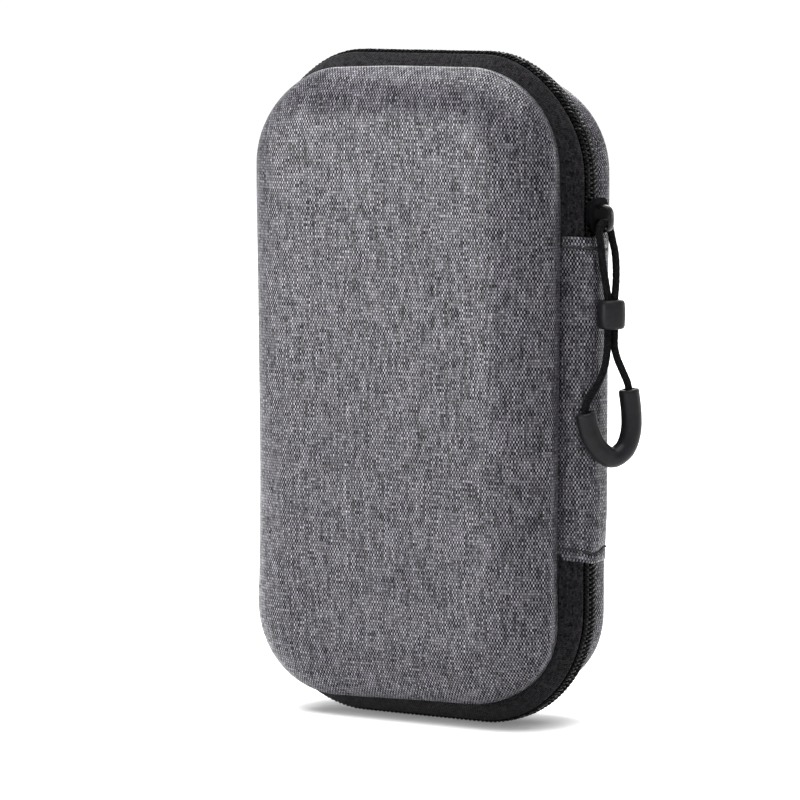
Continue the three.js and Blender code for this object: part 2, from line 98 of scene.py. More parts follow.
# Moulded profile: a superellipse from the rim to the flat of the face
WALL_INSET = SEAM_INSET + 0.2
EDGE_INWARD, EDGE_START, EDGE_POWER, EDGE_STEPS = 15.0, 12.5, 1.75, 16
RIM_TURN_IN, RIM_STEPS = 1.0, 8
COVER_THICK = 0.7
FOAM_FROM, FOAM_TO = 0.9, 3.9
LINING_FROM, LINING_TO = 4.1, 4.6
FACE_INSETS = (46.5, 42.0, 37.0, 32.0, 28.0, 25.0, 23.0, 21.5)
LIP_EDGE, LIP_DEEP, FOAM_BACK, LIP_SLACK = 0.1, 0.6, 0.5, 0.5

# How the cloth sits on each half: fuller towards the top, drawn up at one lower corner, with soft dents
UNEVEN, UNEVEN_LENGTH, UNEVEN_APART = 0.10, 24.0, 7.3
TOP_FULLNESS = {-1: 0.6, 1: 1.1}
TOP_RISE, RISE_HEIGHT, RISE_SIDE = {-1: 1.3, 1: -0.9}, (120.0, 160.0), (-38.0, 0.0)
FOOT_FULLNESS, FOOT_HEIGHT, FOOT_SIDE = {-1: 0.9, 1: 0.0}, (5.0, 45.0), (15.0, 38.0)
FULL_HEIGHT, FULL_SIDE = (60.0, 140.0), (26.0, 40.0)
SIDE_BOW = {-1: 0.5, 1: 0.0}
FOOT_LIFT, FOOT_LIFT_HEIGHT, FOOT_LIFT_SIDE = 1.1, (-22.0, -5.0), (-30.0, 30.0)

# Coil zip
COIL_PITCH, COIL_STEPS, COIL_SIDES = 1.25, 12, 6
COIL_SQUARE = 0.75
WIRE_RADIUS, HEAD_SWELL, HEAD_POWER = 0.33, 0.12, 3
COIL_INSET, COIL_INSET_REACH = 0.95, 0.52
COIL_Y, COIL_Y_REACH = 1.05, 1.22
CORE_WIDE, CORE_THICK, CORE_ASIDE, CORE_STEP, CORE_SIDES = 1.8, 0.75, 0.15, 1.5, 12
TAPE_THICK = 0.6
ZIP_SHIFT, ZIP_SHIFT_FROM, ZIP_SHIFT_UNTIL = -1.1, 3.5, 7.5

# Hinge patch
PATCH_DOME, DOME_POWER, PATCH_THICK, PATCH_STITCH = 6.1, 3, 0.32, 2.7
PATCH_TUCK, PATCH_TUCK_FROM, PATCH_END_TUCK = 3.0, 0.84, 0.5
PATCH_TUCK_ENDS = (2.0, 8.0)
PATCH_FULLNESS, FULL_FOOT, FULL_TOP = 0.9, (-6.0, 16.0), (-5.0, 10.0)
PATCH_LIFT_FADE, LIFT_POWER = 0.8, 4
PATCH_TOP_SKEW, TOP_SKEW_FROM, TOP_SKEW_TO, FOOT_SKEW_TO = -0.7, 40.0, 3.0, 12.0
FOOT_EDGE = ((-1.0, 0.5), (-0.35, -0.6), (0.2, -0.3), (1.0, -0.3))
FOOT_SEAM = ((-1.0, 0.8), (-0.7, 0.2), (-0.4, -0.7), (-0.2, -0.9), (0.0, -0.4), (0.25, 0.4), (1.0, 0.4))
STITCH_LENGTH, STITCH_GAP, STITCH_RADIUS, STITCHES = 2.4, 0.25, 0.3, 3
STITCH_SUNK, STITCH_RISE, STITCH_STEPS = -0.44, 0.36, 7
THREAD_SIDES, THREAD_SPAN, RISE_POWER, BULGE_POWER = 8, (0.12, 0.88), 0.5, 0.4

# Cord pull: points are (along the pull's plane, across it, up) from the eye under the bail
PULL_TURN = math.radians(60)
CORD_RADIUS, CORD_SIDES, CORD_STEP = 0.95, 24, 0.3
CARRIERS, BRAID_LAY, BRAID_DEPTH = 6, 5.2, 0.045
GRIP_RADIUS, GRIP_SIDES, GRIP_STEP = 2.6, 28, 0.55
GRIP_BORE, BORE_FLARE, FLARE_DEEP = 1.3, 0.25, 0.4
GRIP_LIP, GRIP_ENDS, GRIP_CLEAR = 0.6, (0.0, 0.1, 0.28, 0.55, 0.9), 1.2
BEAD_CENTRE = (0.53, -2.52, -22.7)
BEAD_HALF, BEAD_FLAT, BEAD_HEIGHT, BEAD_EDGE = 3.3, 0.93, 7.3, 0.9
BEAD_SIDES, BEAD_POWER = 40, 2.5
BEAD_END = ((0.0, 1.0), (0.08, 0.62), (0.3, 0.25), (BEAD_EDGE, 0.0))
BEAD_BELLY = ((-1.2, -0.08), (0.0, -0.1))
SLOT_RADIUS, SLOT_SPREAD, SLOT_FLARE, SLOT_LIP, SLOT_DEEP = 1.15, 0.97, 1.12, 0.05, 0.5
EYE = (51.75, 0.0, 127.85)
GRIP_ROUTE = (
    (-6.95, -3.08, -46.8), (-5.85, -3.08, -51.4), (-3.5, -3.08, -55.7), (0.45, -3.08, -58.3),
    (4.05, -3.08, -56.5), (5.85, -3.08, -52.4), (6.05, -3.08, -47.9), (5.25, -3.08, -41.4),
)
CORD_ROUTE = (
    (-6.28, -3.08, -49.9), (-6.95, -3.08, -46.8), (-6.85, -3.08, -45.3), (-6.1, -3.08, -43.6),
    (-3.8, -3.08, -40.3), (-1.7, -3.05, -36.1), (-0.68, -2.8, -31.3), (-0.44, -2.52, -27.4),
    (-0.44, -2.52, -23.4), (-0.44, -2.52, -18.8), (-0.93, -2.2, -14.6), (-1.53, -1.8, -10.2),
    (-2.03, -2.03, -6.9), (-2.24, -1.93, -4.9), (-2.33, -1.46, -2.6), (-1.86, -1.08, -0.8),
    (-1.04, -0.6, -0.12), (0.0, 0.0, 0.0), (1.04, 0.6, -0.12), (1.86, 1.08, -0.8),
    (2.43, 1.29, -2.6), (2.79, 0.97, -4.9), (3.04, 0.43, -6.9), (3.04, -0.27, -10.1),
    (2.46, -1.4, -14.7), (1.5, -2.52, -18.8), (1.5, -2.52, -23.4), (1.5, -2.52, -27.4),
    (1.37, -2.75, -30.7), (1.97, -3.0, -33.5), (3.37, -3.08, -36.6), (4.92, -3.08, -39.9),
    (5.25, -3.08, -41.4), (5.59, -3.08, -44.2),
)

# Camera, as the photograph was taken: degrees round from the face and up
VIEW_AROUND, VIEW_UP = 33.21, 5.303
VIEW_DISTANCE, VIEW_LENS, VIEW_CLIP = 1316.56, 233.18, 100
AIM_LEFT, AIM_DOWN = 7.62, 4.07


def linked(name, data):
    """A new object in the scene."""
    made = bpy.data.objects.new(name, data)
    bpy.context.scene.collection.objects.link(made)
    return made


def towards(around, up):
    """The direction from the case to a camera or a lamp, by degrees round from the face and up."""
    around, up = math.radians(around), math.radians(up)
    return Vector((math.sin(around) * math.cos(up), -math.cos(around) * math.cos(up), math.sin(up)))


def add_camera():
    """The photograph's camera, aimed a little left of and below the middle of the case."""
    back = towards(VIEW_AROUND, VIEW_UP)
    right = towards(VIEW_AROUND + 90, 0)
    centre = Vector((0, 0, HEIGHT / 2))
    stand = centre + back * VIEW_DISTANCE
    aim = centre - right * AIM_LEFT - back.cross(right) * AIM_DOWN
    data = bpy.data.cameras.new("camera")
    data.lens, data.clip_end = VIEW_LENS, VIEW_CLIP
    camera = linked("camera", data)
    turn = (stand - aim).to_track_quat("Z", "Y").to_matrix().to_4x4()
    camera.matrix_world = Matrix.Translation(stand * MM) @ turn
    bpy.context.scene.camera = camera


# Forms: a form is (points, faces, places), and a place is where a point lies on its cloth


def run_along(points):
    """Distance along a line at each of its points."""
    return np.concatenate([[0], np.cumsum(np.linalg.norm(np.diff(points, axis=0), axis=1))])


def line_at(stations, run, line):
    """Points of a line at distances along it; run holds the distance of each of its own points."""
    return np.stack([np.interp(stations, run, values) for values in line.T], -1)


def unit_rows(vectors):
    return vectors / np.linalg.norm(vectors, axis=1, keepdims=True)


def at_depth(line, y):
    """(x, z) points in space at a depth."""
    return np.insert(line, 1, y, axis=1)


def sheet_points(x, y, z):
    """Points from values that are given once, per column, or per row."""
    return np.stack(np.broadcast_arrays(x, y, z), -1)


def signed_power(value, power):
    return np.sign(value) * np.abs(value) ** power


def grid(points, places=None, close_rows=False, close_cols=False, caps=False):
    """Quads over rows of points."""
    rows, cols = points.shape[:2]
    index = np.arange(rows * cols).reshape(rows, cols)
    ends = [index[0][::-1].tolist(), index[-1].tolist()] if caps else []
    if close_rows:
        index = np.vstack([index, index[:1]])
    if close_cols:
        index = np.hstack([index, index[:, :1]])
    quads = np.stack([index[:-1, :-1], index[:-1, 1:], index[1:, 1:], index[1:, :-1]], -1)
    flat = points.reshape(-1, 3)
    return flat, quads.reshape(-1, 4).tolist() + ends, flat if places is None else places.reshape(-1, 3)


def tube(rings, places=None):
    """Closed rings in a row, capped at both ends."""
    return grid(rings, places, close_cols=True, caps=True)


def torus(rings):
    """Closed rings in a row that meets its own start."""
    return grid(rings, close_rows=True, close_cols=True)


def slab(points, inward, places):
    """A closed sheet: rows of points, the same rows moved inward, and the strip round their edge."""
    rows, cols = points.shape[:2]
    upper, faces, upper_places = grid(points, places)
    count = rows * cols
    lower = [[count + i for i in face[::-1]] for face in faces]
    index = np.arange(count).reshape(rows, cols)
    edge = np.concatenate([index[0, :-1], index[:-1, -1], index[-1, :0:-1], index[:0:-1, 0]])
    after = np.roll(edge, -1)
    strip = np.stack([edge, edge + count, after + count, after], -1).tolist()
    return (
        np.vstack([upper, (points + inward).reshape(-1, 3)]),
        faces + lower + strip,
        np.vstack([upper_places, upper_places]),
    )


def joined(forms):
    """Several forms as one."""
    points, faces, places, count = [], [], [], 0
    for form_points, form_faces, form_places in forms:
        points.append(form_points)
        places.append(form_places)
        faces += [[i + count for i in face] for face in form_faces]
        count += len(form_points)
    return np.vstack(points), faces, np.vstack(places)


def frames_along(path, first=None):
    """Two unit vectors across a path at each point, carried along it without twist."""
    tangents = unit_rows(np.gradient(path, axis=0))
    if first is None:
        first = np.eye(3)[np.argmin(np.abs(tangents[0]))]
    normals = np.empty_like(path)
    carried = np.asarray(first, float)
    for i, tangent in enumerate(tangents):
        carried = carried - tangent * (carried @ tangent)
        carried = carried / np.linalg.norm(carried)
        normals[i] = carried
    return normals, np.cross(tangents, normals)


def superellipse(count, power):
    """A unit loop, from a circle at power 2 towards a square."""
    turn = np.arange(count) * math.tau / count
    return signed_power(np.stack([np.cos(turn), np.sin(turn)], -1), 2 / power)


def circle(sides):
    return superellipse(sides, 2)


def rounded_bar(wide, thick, power=3.0, count=20):
    """A rounded bar's section."""
    return superellipse(count, power) * (wide / 2, thick / 2)


def rings_along(path, section, scale=1.0, first=None):
    """Rows of a section carried along a path; scale is one number, one per row, or one per point."""
    normals, sides = frames_along(path, first)
    scale = np.broadcast_to(np.asarray(scale, float).reshape(-1, 1) if np.ndim(scale) < 2 else scale,
                            (len(path), len(section)))[..., None]
    return path[:, None] + scale * (
        section[None, :, :1] * normals[:, None] + section[None, :, 1:] * sides[:, None]
    )


def sweep(path, section, scale=1.0, first=None):
    return tube(rings_along(path, section, scale, first))


def smooth_path(points, step):
    """Evenly spaced points on a centripetal Catmull-Rom curve, and its length."""
    points = np.asarray(points, float)
    points = np.vstack([2 * points[0] - points[1], points, 2 * points[-1] - points[-2]])
    knots = np.concatenate([[0], np.cumsum(np.linalg.norm(np.diff(points, axis=0), axis=1) ** 0.5)])
    found = []
    for i in range(1, len(points) - 2):
        t = np.linspace(knots[i], knots[i + 1], CURVE_STEPS, endpoint=False)[:, None]
        a, b, c, d = knots[i - 1:i + 3]
        p, q, r, s = points[i - 1:i + 3]

        def between(one, other, start, end):
            return ((end - t) * one + (t - start) * other) / (end - start)

        middle = between(q, r, b, c)
        first = between(between(p, q, a, b), middle, a, c)
        last = between(middle, between(r, s, c, d), b, d)
        found.append(between(first, last, b, c))
    dense = np.vstack(found + [points[-2:-1]])
    length = run_along(dense)
    stations = np.linspace(0, length[-1], int(length[-1] / step) + 1)
    return line_at(stations, length, dense), length[-1]


def add_piece(name, form, material, body=None, replaces=()):
    """A mesh object from a form. Without a body it is left free."""
    points, faces, places = form
    mesh = bpy.data.meshes.new(name)
    mesh.from_pydata((points * MM).tolist(), [], faces)
    shape = bmesh.new()
    shape.from_mesh(mesh)
    bmesh.ops.recalc_face_normals(shape, faces=shape.faces)
    shape.to_mesh(mesh)
    shape.free()
    mesh.shade_smooth()
    mesh.set_sharp_from_angle(angle=SHARP_ANGLE)
    place = mesh.attributes.new("place", "FLOAT_VECTOR", "POINT")
    place.data.foreach_set("vector", places.astype(np.float32).ravel())
    mesh.materials.append(material)
    piece = linked(name, mesh)
    if body:
        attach(piece, body)
    if replaces:
        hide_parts(*replaces)
    return piece


# Outlines


def eased(value, start, end):
    """0 before start, 1 after end, and a smooth rise between them."""
    share = np.clip((value - start) / (end - start), 0, 1)
    return share * share * (3 - 2 * share)


def corner_radius(inset):
    if inset < SEAM_INSET:
        return ZIP_CORNER + (SEAM_CORNER - ZIP_CORNER) * inset / SEAM_INSET
    return max(SEAM_CORNER - (inset - SEAM_INSET), LEAST_RADIUS)


def loop_turns():
    """For each point of a loop: its corner, its angle, and its share of the straight to the next corner."""
    turns = []
    for corner, straight in enumerate((SHORT_STEPS, LONG_STEPS, SHORT_STEPS, LONG_STEPS)):
        turns += [(corner, corner + step / CORNER_STEPS, 0.0) for step in range(CORNER_STEPS + 1)]
        turns += [(corner, corner + 1, step / straight) for step in range(1, straight)]
    corners, quarters, shares = np.array(turns).T
    return corners.astype(int), math.pi / 2 * quarters, shares[:, None]


LOOP_CORNERS, LOOP_ANGLES, LOOP_SHARES = loop_turns()
CORNER_SIGNS = np.array([(1, 1), (-1, 1), (-1, -1), (1, -1)])


def outline(inset):
    """The closed loop at an inset, as (x, z) points, and its outward directions. The two upper corners
    are drawn in a little."""
    radius = corner_radius(inset)
    flat = CORNER_SIGNS * (HALF_WIDTH - inset - radius, HEIGHT / 2 - inset - radius)
    here, there = flat[LOOP_CORNERS], flat[(LOOP_CORNERS + 1) % 4]
    normals = np.stack([np.cos(LOOP_ANGLES), np.sin(LOOP_ANGLES)], -1)
    points = here + (there - here) * LOOP_SHARES + normals * radius + (0, HEIGHT / 2)
    draw = CORNER_DRAW * eased(np.abs(points[:, 0]), *DRAW_SIDE) * eased(points[:, 1], *DRAW_HEIGHT)
    inwards = np.insert(-np.sign(points[:, :1]), 1, -1, axis=1) * math.sqrt(0.5)
    return points + draw[:, None] * inwards, normals


LAST_CORNER = 3 * (CORNER_STEPS + 1) + 2 * (SHORT_STEPS - 1) + LONG_STEPS - 1
RING_FROM = SPLIT_STEPS
RING_TO = LAST_CORNER + CORNER_STEPS - SPLIT_STEPS


def loop_at(inset):
    return outline(inset)[0]


def side_run(inset, split, z_hidden):
    """The straight right side from z_hidden to a corner, and on to where the ring starts."""
    points = loop_at(inset)
    corner = points[:SPLIT_STEPS + 1] if split > 0 else points[RING_TO:RING_TO + SPLIT_STEPS + 1][::-1]
    straight = np.linspace(z_hidden, corner[0, 1], SIDE_STEPS, endpoint=False)
    return np.vstack([np.insert(straight[:, None], 0, corner[0, 0], axis=1), corner])


def zip_table():
    """The zip's outer edge: distances along it, (x, z) points and outward directions. The distance is 0
    at the start of the upper right corner, falls down the right side and grows over the top."""
    lines = [line[:LAST_CORNER + CORNER_STEPS + 1] for line in outline(0.0)]
    steps = np.arange(len(lines[0]))
    fine = np.linspace(0, steps[-1], ZIP_STEPS * steps[-1] + 1)
    points, normals = (line_at(fine, steps, line) for line in lines)
    points = np.vstack([[(HALF_WIDTH, ZIP_CORNER)], points, [(HALF_WIDTH, HEIGHT - ZIP_CORNER)]])
    run = run_along(points)
    return run - run[1], points, unit_rows(np.vstack([[(1, 0)], normals, [(1, 0)]]))


ZIP_DISTANCE, ZIP_POINTS, ZIP_NORMALS = zip_table()
ZIP_END = ZIP_DISTANCE[-2]
RING_START = ZIP_CORNER * math.pi / 2 * SPLIT_STEPS / CORNER_STEPS


def zip_path(distance, inset, y):
    """Points at these distances along the zip, at an inset and a depth."""
    edge, away = (line_at(distance, ZIP_DISTANCE, line) for line in (ZIP_POINTS, ZIP_NORMALS))
    x, z = edge.T - away.T * inset
    return sheet_points(x, y, z)


# Materials: a pair is (factor, base) of a value that is scaled and raised; stops are places on a ramp

SLUB_APART, WAVER_SCALE = 3.17, 0.7
YARN_ROUND, YARN_ARCH, WEFT_NUMBERS = 3.6, 2.4, 1000.0
WARP_PITCH, WEFT_PITCH, CLOTH_WAVER = 0.4, 0.7, 0.6
CLOTH_STRETCH, CLOTH_SLUBS, CLOTH_FLECKS, WEFT_TONE = 0.11, (1.36, -0.28), 0.24, -0.44
# The first pair on the next line paints shade into the gaps between yarns, scaling the colour by yarn height.
CLOTH_PAINTED_SHADE, CLOTH_GLOSS, CLOTH_ROUGH, CLOTH_DEPTH = (1.3, 0.05), (0.75, 0.07), 0.3, 0.015
CLOTH_TONES = ((0.0, (0.008, 0.0075, 0.009)), (0.35, (0.068, 0.0645, 0.075)),
               (0.65, (0.205, 0.194, 0.228)), (1.0, (0.38, 0.36, 0.42)))
DARK_WAVER, DARK_STRETCH, DARK_SLUBS, DARK_FLECKS = 0.3, 0.2, (1.4, -0.4), 0.4
# The first pair on the next line paints shade into the gaps between the dark yarns, scaling the colour by
# yarn height.
DARK_PAINTED_SHADE, DARK_STOPS = (0.5, 0.6), (0.2, 0.8)
BLOTCH_SCALE, BLOTCH_DETAIL, BLOTCH_SHARE, GRAIN_SHARE, MOULDED_STOPS = 0.45, 3.0, 0.6, 0.4, (0.3, 0.7)
TWIST, THREAD_ROUGH, THREAD_GLOSS, THREAD_DEPTH, THREAD_STOPS = 14.0, 0.6, 0.3, 0.04, (0.1, 0.9)
CELL_SCALE, CELL_DEPTH, FOAM_ROUGH, FOAM_GLOSS = 1.6, 0.15, 0.9, 0.2
FOAM_TONES = ((0.1, (0.02, 0.02, 0.022)), (0.8, (0.045, 0.045, 0.048)))


def add_node(tree, kind, inputs, output=0, **settings):
    """One output of a new node; an input is a socket to link or a value."""
    made = tree.nodes.new("ShaderNode" + kind)
    for setting, value in settings.items():
        setattr(made, setting, value)
    for key, value in inputs.items():
        if isinstance(value, bpy.types.NodeSocket):
            tree.links.new(value, made.inputs[key])
        else:
            made.inputs[key].default_value = value
    return made.outputs[output]


class Shader:
    """One material, with short calls for its nodes. Patterns lie on the pieces' own places."""

    def __init__(self, name, sockets):
        self.material = bpy.data.materials.new(name)
        self.material.use_nodes = True
        self.tree = self.material.node_tree
        self.surface = self.tree.nodes["Principled BSDF"]
        for socket, value in sockets.items():
            self.surface.inputs[socket].default_value = value
        self.place = self.node("Attribute", {}, "Vector", attribute_name="place")

    def node(self, kind, inputs, output=0, **settings):
        return add_node(self.tree, kind, inputs, output, **settings)

    def math(self, operation, *values, clamp=False):
        return self.node("Math", dict(enumerate(values)), operation=operation, use_clamp=clamp)

    def raised(self, value, factor, base):
        return self.math("MULTIPLY_ADD", value, factor, base)

    def choose(self, factor, a, b):
        return self.node("Mix", {0: factor, 2: a, 3: b}, data_type="FLOAT")

    def vector(self, x, y):
        return self.node("CombineXYZ", {0: x, 1: y})

    def axes(self, vector):
        return self.node("SeparateXYZ", {0: vector}).node.outputs

    def noise(self, vector, scale, detail=2.0):
        return self.node("TexNoise", {"Vector": vector, "Scale": scale, "Detail": detail})

    def dice(self, vector):
        return self.node("TexWhiteNoise", {"Vector": vector}, "Value")

    def ramp(self, factor, stops):
        made = self.tree.nodes.new("ShaderNodeValToRGB")
        self.tree.links.new(factor, made.inputs[0])
        elements = made.color_ramp.elements
        while len(elements) < len(stops):
            elements.new(0.5)
        for element, (position, colour) in zip(elements, stops):
            element.position = position
            element.color = (*colour, 1)
        return made.outputs[0]

    def scaled(self, colour, factor):
        return self.node("VectorMath", {0: colour, 3: factor}, operation="SCALE")

    def finish(self, colour, height, depth, **sockets):
        """Links a colour, a bump of this depth in millimetres, and other sockets of the surface."""
        bump = self.node("Bump", {"Height": height, "Distance": depth * MM, "Strength": 1.0})
        for socket, value in {"Base Color": colour, "Normal": bump, **sockets}.items():
            self.tree.links.new(value, self.surface.inputs[socket])
        return self.material

    def yarn_tone(self, weave, stretch, slubs, flecks):
        """Thick and thin stretches along each yarn, and flecks at its crossings."""
        along = self.vector(self.math("MULTIPLY", weave.yarn, SLUB_APART),
                            self.math("MULTIPLY", weave.along, stretch))
        return self.raised(self.dice(weave.crossing), flecks, self.raised(self.noise(along, 1.0), *slubs))

    def plain_weave(self, pitch_u, pitch_v, waver):
        """A plain weave: yarn height, 1 where the weft is on top, the yarn's number, the distance
        along it in yarns, and its crossing."""
        split = self.axes(self.place)
        drift = self.math("MULTIPLY", self.math("SUBTRACT", self.noise(self.place, WAVER_SCALE), 0.5), waver)
        u = self.math("ADD", self.math("DIVIDE", split["X"], pitch_u), drift)
        v = self.math("ADD", self.math("DIVIDE", split["Y"], pitch_v), drift)
        cell_u, cell_v = self.math("FLOOR", u), self.math("FLOOR", v)
        in_u = self.math("SUBTRACT", self.math("FRACT", u), 0.5)
        in_v = self.math("SUBTRACT", self.math("FRACT", v), 0.5)
        weft = self.math("FLOORED_MODULO", self.math("ADD", cell_u, cell_v), 2.0)
        across = self.choose(weft, in_u, in_v)
        along = self.choose(weft, in_v, in_u)
        round_across = self.raised(self.math("MULTIPLY", across, across), -YARN_ROUND, 1.0)
        round_along = self.raised(self.math("MULTIPLY", along, along), -YARN_ARCH, 1.0)
        return SimpleNamespace(
            height=self.math("MULTIPLY", round_across, round_along, clamp=True),
            weft=weft,
            yarn=self.choose(weft, cell_u, self.math("ADD", cell_v, WEFT_NUMBERS)),
            along=self.choose(weft, v, u),
            crossing=self.vector(cell_u, cell_v),
        )


def melange_cloth():
    """Grey plain weave: fine light warp, coarser dark weft, slubs along both and flecks at crossings, with
    painted shade in the gaps between yarns.
    """
    s = Shader("melange_cloth", {"Roughness": CLOTH_ROUGH})
    weave = s.plain_weave(WARP_PITCH, WEFT_PITCH, CLOTH_WAVER)
    tone = s.raised(weave.weft, WEFT_TONE, s.yarn_tone(weave, CLOTH_STRETCH, CLOTH_SLUBS, CLOTH_FLECKS))
    # Painted shade: the colour is darkened in the gaps between yarns, scaled by yarn height; the gloss
    # follows the same mask.
    painted_yarn_shade = s.raised(weave.height, *CLOTH_PAINTED_SHADE)
    gloss = s.math("MULTIPLY", painted_yarn_shade, s.raised(tone, *CLOTH_GLOSS))
    colour = s.scaled(s.ramp(tone, CLOTH_TONES), painted_yarn_shade)
    return s.finish(colour, weave.height, CLOTH_DEPTH, **{"Specular IOR Level": gloss})


def dark_cloth(name, pitch, dark, light, rough, gloss, sheen, depth):
    """A black or near-black plain weave, with painted shade in the gaps between yarns."""
    s = Shader(name, {"Roughness": rough, "Specular IOR Level": gloss, "Sheen Weight": sheen})
    weave = s.plain_weave(*pitch, DARK_WAVER)
    tone = s.yarn_tone(weave, DARK_STRETCH, DARK_SLUBS, DARK_FLECKS)
    # Painted shade: the colour is scaled down by yarn height, darkest in the gaps between yarns.
    colour = s.scaled(s.ramp(tone, [*zip(DARK_STOPS, (dark, light))]), s.raised(weave.height, *DARK_PAINTED_SHADE))
    return s.finish(colour, weave.height, depth)


def moulded(name, dark, light, gloss, rough, grain, depth):
    """A moulded or coated surface with fine grain and uneven gloss."""
    s = Shader(name, {"Specular IOR Level": gloss})
    broad, fine = s.noise(s.place, BLOTCH_SCALE, BLOTCH_DETAIL), s.noise(s.place, grain)
    tone = s.math("ADD", s.math("MULTIPLY", broad, BLOTCH_SHARE), s.math("MULTIPLY", fine, GRAIN_SHARE))
    colour = s.ramp(tone, [*zip(MOULDED_STOPS, (dark, light))])
    return s.finish(colour, fine, depth, Roughness=s.raised(broad, rough[1] - rough[0], rough[0]))


def twisted_thread(name, dark, light):
    s = Shader(name, {"Roughness": THREAD_ROUGH, "Specular IOR Level": THREAD_GLOSS})
    split = s.axes(s.place)
    lay = s.math("ADD", s.math("MULTIPLY", split["X"], TWIST), s.math("MULTIPLY", split["Z"], TWIST))
    twist = s.raised(s.math("SINE", s.raised(split["Y"], TWIST, lay)), 0.5, 0.5)
    return s.finish(s.ramp(twist, [*zip(THREAD_STOPS, (dark, light))]), twist, THREAD_DEPTH)


def foam_cells():
    s = Shader("foam_cells", {"Roughness": FOAM_ROUGH, "Specular IOR Level": FOAM_GLOSS})
    cells = s.node("TexVoronoi", {"Vector": s.place, "Scale": CELL_SCALE})
    return s.finish(s.ramp(cells, FOAM_TONES), cells, CELL_DEPTH)


CLOTH, FOAM = melange_cloth(), foam_cells()
# Weaves: name, yarn pitches, dark and light colour, roughness, gloss, sheen, depth
TAPE, LINING, BINDING, ELASTIC, BRAID = (dark_cloth(*weave) for weave in (
    ("zip_tape_weave", (0.62, 0.5), (0.0015, 0.0013, 0.0016), (0.032, 0.0295, 0.0335),
     0.75, 0.03, 0.06, 0.18),
    ("lining_knit", (0.55, 0.4), (0.012, 0.012, 0.013), (0.05, 0.05, 0.053), 0.9, 0.15, 0.15, 0.07),
    ("binding_weave", (0.8, 0.45), (0.008, 0.008, 0.009), (0.035, 0.034, 0.037), 0.75, 0.2, 0.1, 0.08),
    ("elastic_weave", (0.5, 0.8), (0.010, 0.010, 0.011), (0.045, 0.044, 0.047), 0.8, 0.2, 0.1, 0.07),
    ("cord_braid", (0.32, 0.32), (0.0015, 0.0015, 0.0018), (0.014, 0.0135, 0.015), 0.6, 0.025, 0.0, 0.06),
))
# Moulded surfaces: name, dark and light colour, gloss, range of roughness, grain, depth
NYLON, ENAMEL, BAIL_ENAMEL, RUBBER, NET = (moulded(*surface) for surface in (
    ("coil_nylon", (0.002, 0.002, 0.0022), (0.006, 0.0058, 0.0062), 0.036, (0.12, 0.22), 6.0, 0.02),
    ("slider_enamel", (0.003, 0.003, 0.004), (0.007, 0.007, 0.008), 0.004, (0.16, 0.3), 5.0, 0.012),
    ("bail_enamel", (0.003, 0.003, 0.004), (0.007, 0.007, 0.008), 0.14, (0.1, 0.18), 5.0, 0.012),
    ("pull_rubber", (0.005, 0.0046, 0.0055), (0.015, 0.0138, 0.016), 0.12, (0.3, 0.45), 7.0, 0.02),
    ("net_thread", (0.010, 0.010, 0.011), (0.030, 0.030, 0.032), 0.3, (0.5, 0.75), 8.0, 0.03),
))
PATCH_THREAD = twisted_thread("patch_thread", (0.004, 0.004, 0.005), (0.018, 0.0175, 0.019))
SEWING_THREAD = twisted_thread("sewing_thread", (0.02, 0.02, 0.021), (0.09, 0.09, 0.095))


# Cord pull


def pull_points(route):
    """Points of the pull's own frame in the case's frame."""
    along, across, up = np.asarray(route, float).T
    turn_x, turn_y = math.cos(PULL_TURN), math.sin(PULL_TURN)
    x, y = along * turn_x - across * turn_y, along * turn_y + across * turn_x
    return np.array(EYE) + np.stack([x, y, up], -1)


def add_cord():
    """Braided cord through the bail, with both ends in the grip."""
    path, length = smooth_path(pull_points(CORD_ROUTE), CORD_STEP)
    turn = np.arange(CORD_SIDES) * math.tau / CORD_SIDES
    run = np.linspace(0, length, len(path))[:, None]
    wind = run * math.pi / BRAID_LAY
    strands = np.maximum(*(np.cos(CARRIERS * (turn + way * wind)) for way in (1, -1)))
    rings = rings_along(path, circle(CORD_SIDES), CORD_RADIUS * (1 - BRAID_DEPTH + BRAID_DEPTH * strands))
    form = tube(rings, sheet_points(turn * CORD_RADIUS, run, 0.0))
    return add_piece("braided_cord", form, BRAID, "pull", ["pull_cord"]), path, length


def add_bead():
    """Rounded sleeve with a slot for the two strands."""
    around = superellipse(BEAD_SIDES, BEAD_POWER) * (BEAD_HALF, BEAD_HALF * BEAD_FLAT)
    slot = circle(BEAD_SIDES) * SLOT_RADIUS
    slot[:, 0] += np.sign(slot[:, 0]) * SLOT_SPREAD
    half = BEAD_HEIGHT / 2
    lower = [(up - half, share * BEAD_EDGE) for up, share in BEAD_END] + [*BEAD_BELLY]
    levels = lower + [(-up, shrink) for up, shrink in lower[-2::-1]]
    rows = [(around * (1 - shrink / BEAD_HALF), up) for up, shrink in levels]
    mouth = [(slot * SLOT_FLARE, half - SLOT_LIP), (slot, half - SLOT_DEEP)]
    rows += mouth + [(ring, -up) for ring, up in mouth[::-1]]
    points = np.array([pull_points(np.insert(ring, 2, up, axis=1) + BEAD_CENTRE) for ring, up in rows])
    return add_piece("cord_bead", torus(points), RUBBER, "bead", ["pull_bead"])


def add_grip():
    """U-shaped rubber tube with an open mouth at each end."""
    path, length = smooth_path(pull_points(GRIP_ROUTE), GRIP_STEP)
    ends = np.array(GRIP_ENDS)
    run = np.linspace(0, length, len(path))
    between = run[(run > GRIP_CLEAR) & (run < length - GRIP_CLEAR)]
    stations = np.concatenate([ends, between, length - ends[::-1]])
    near = np.minimum(stations, length - stations)
    outer = GRIP_RADIUS - GRIP_LIP * (1 - np.sqrt(1 - np.clip(1 - near / GRIP_LIP, 0, 1) ** 2))
    inner = GRIP_BORE + BORE_FLARE * np.clip(1 - near / FLARE_DEEP, 0, 1)
    path = line_at(stations, run, path)
    outside, inside = (rings_along(path, circle(GRIP_SIDES), radius) for radius in (outer, inner))
    form = torus(np.vstack([outside, inside[::-1]]))
    add_piece("tube_grip", form, RUBBER, "pull", ["pull_grip"])


# Moulded halves


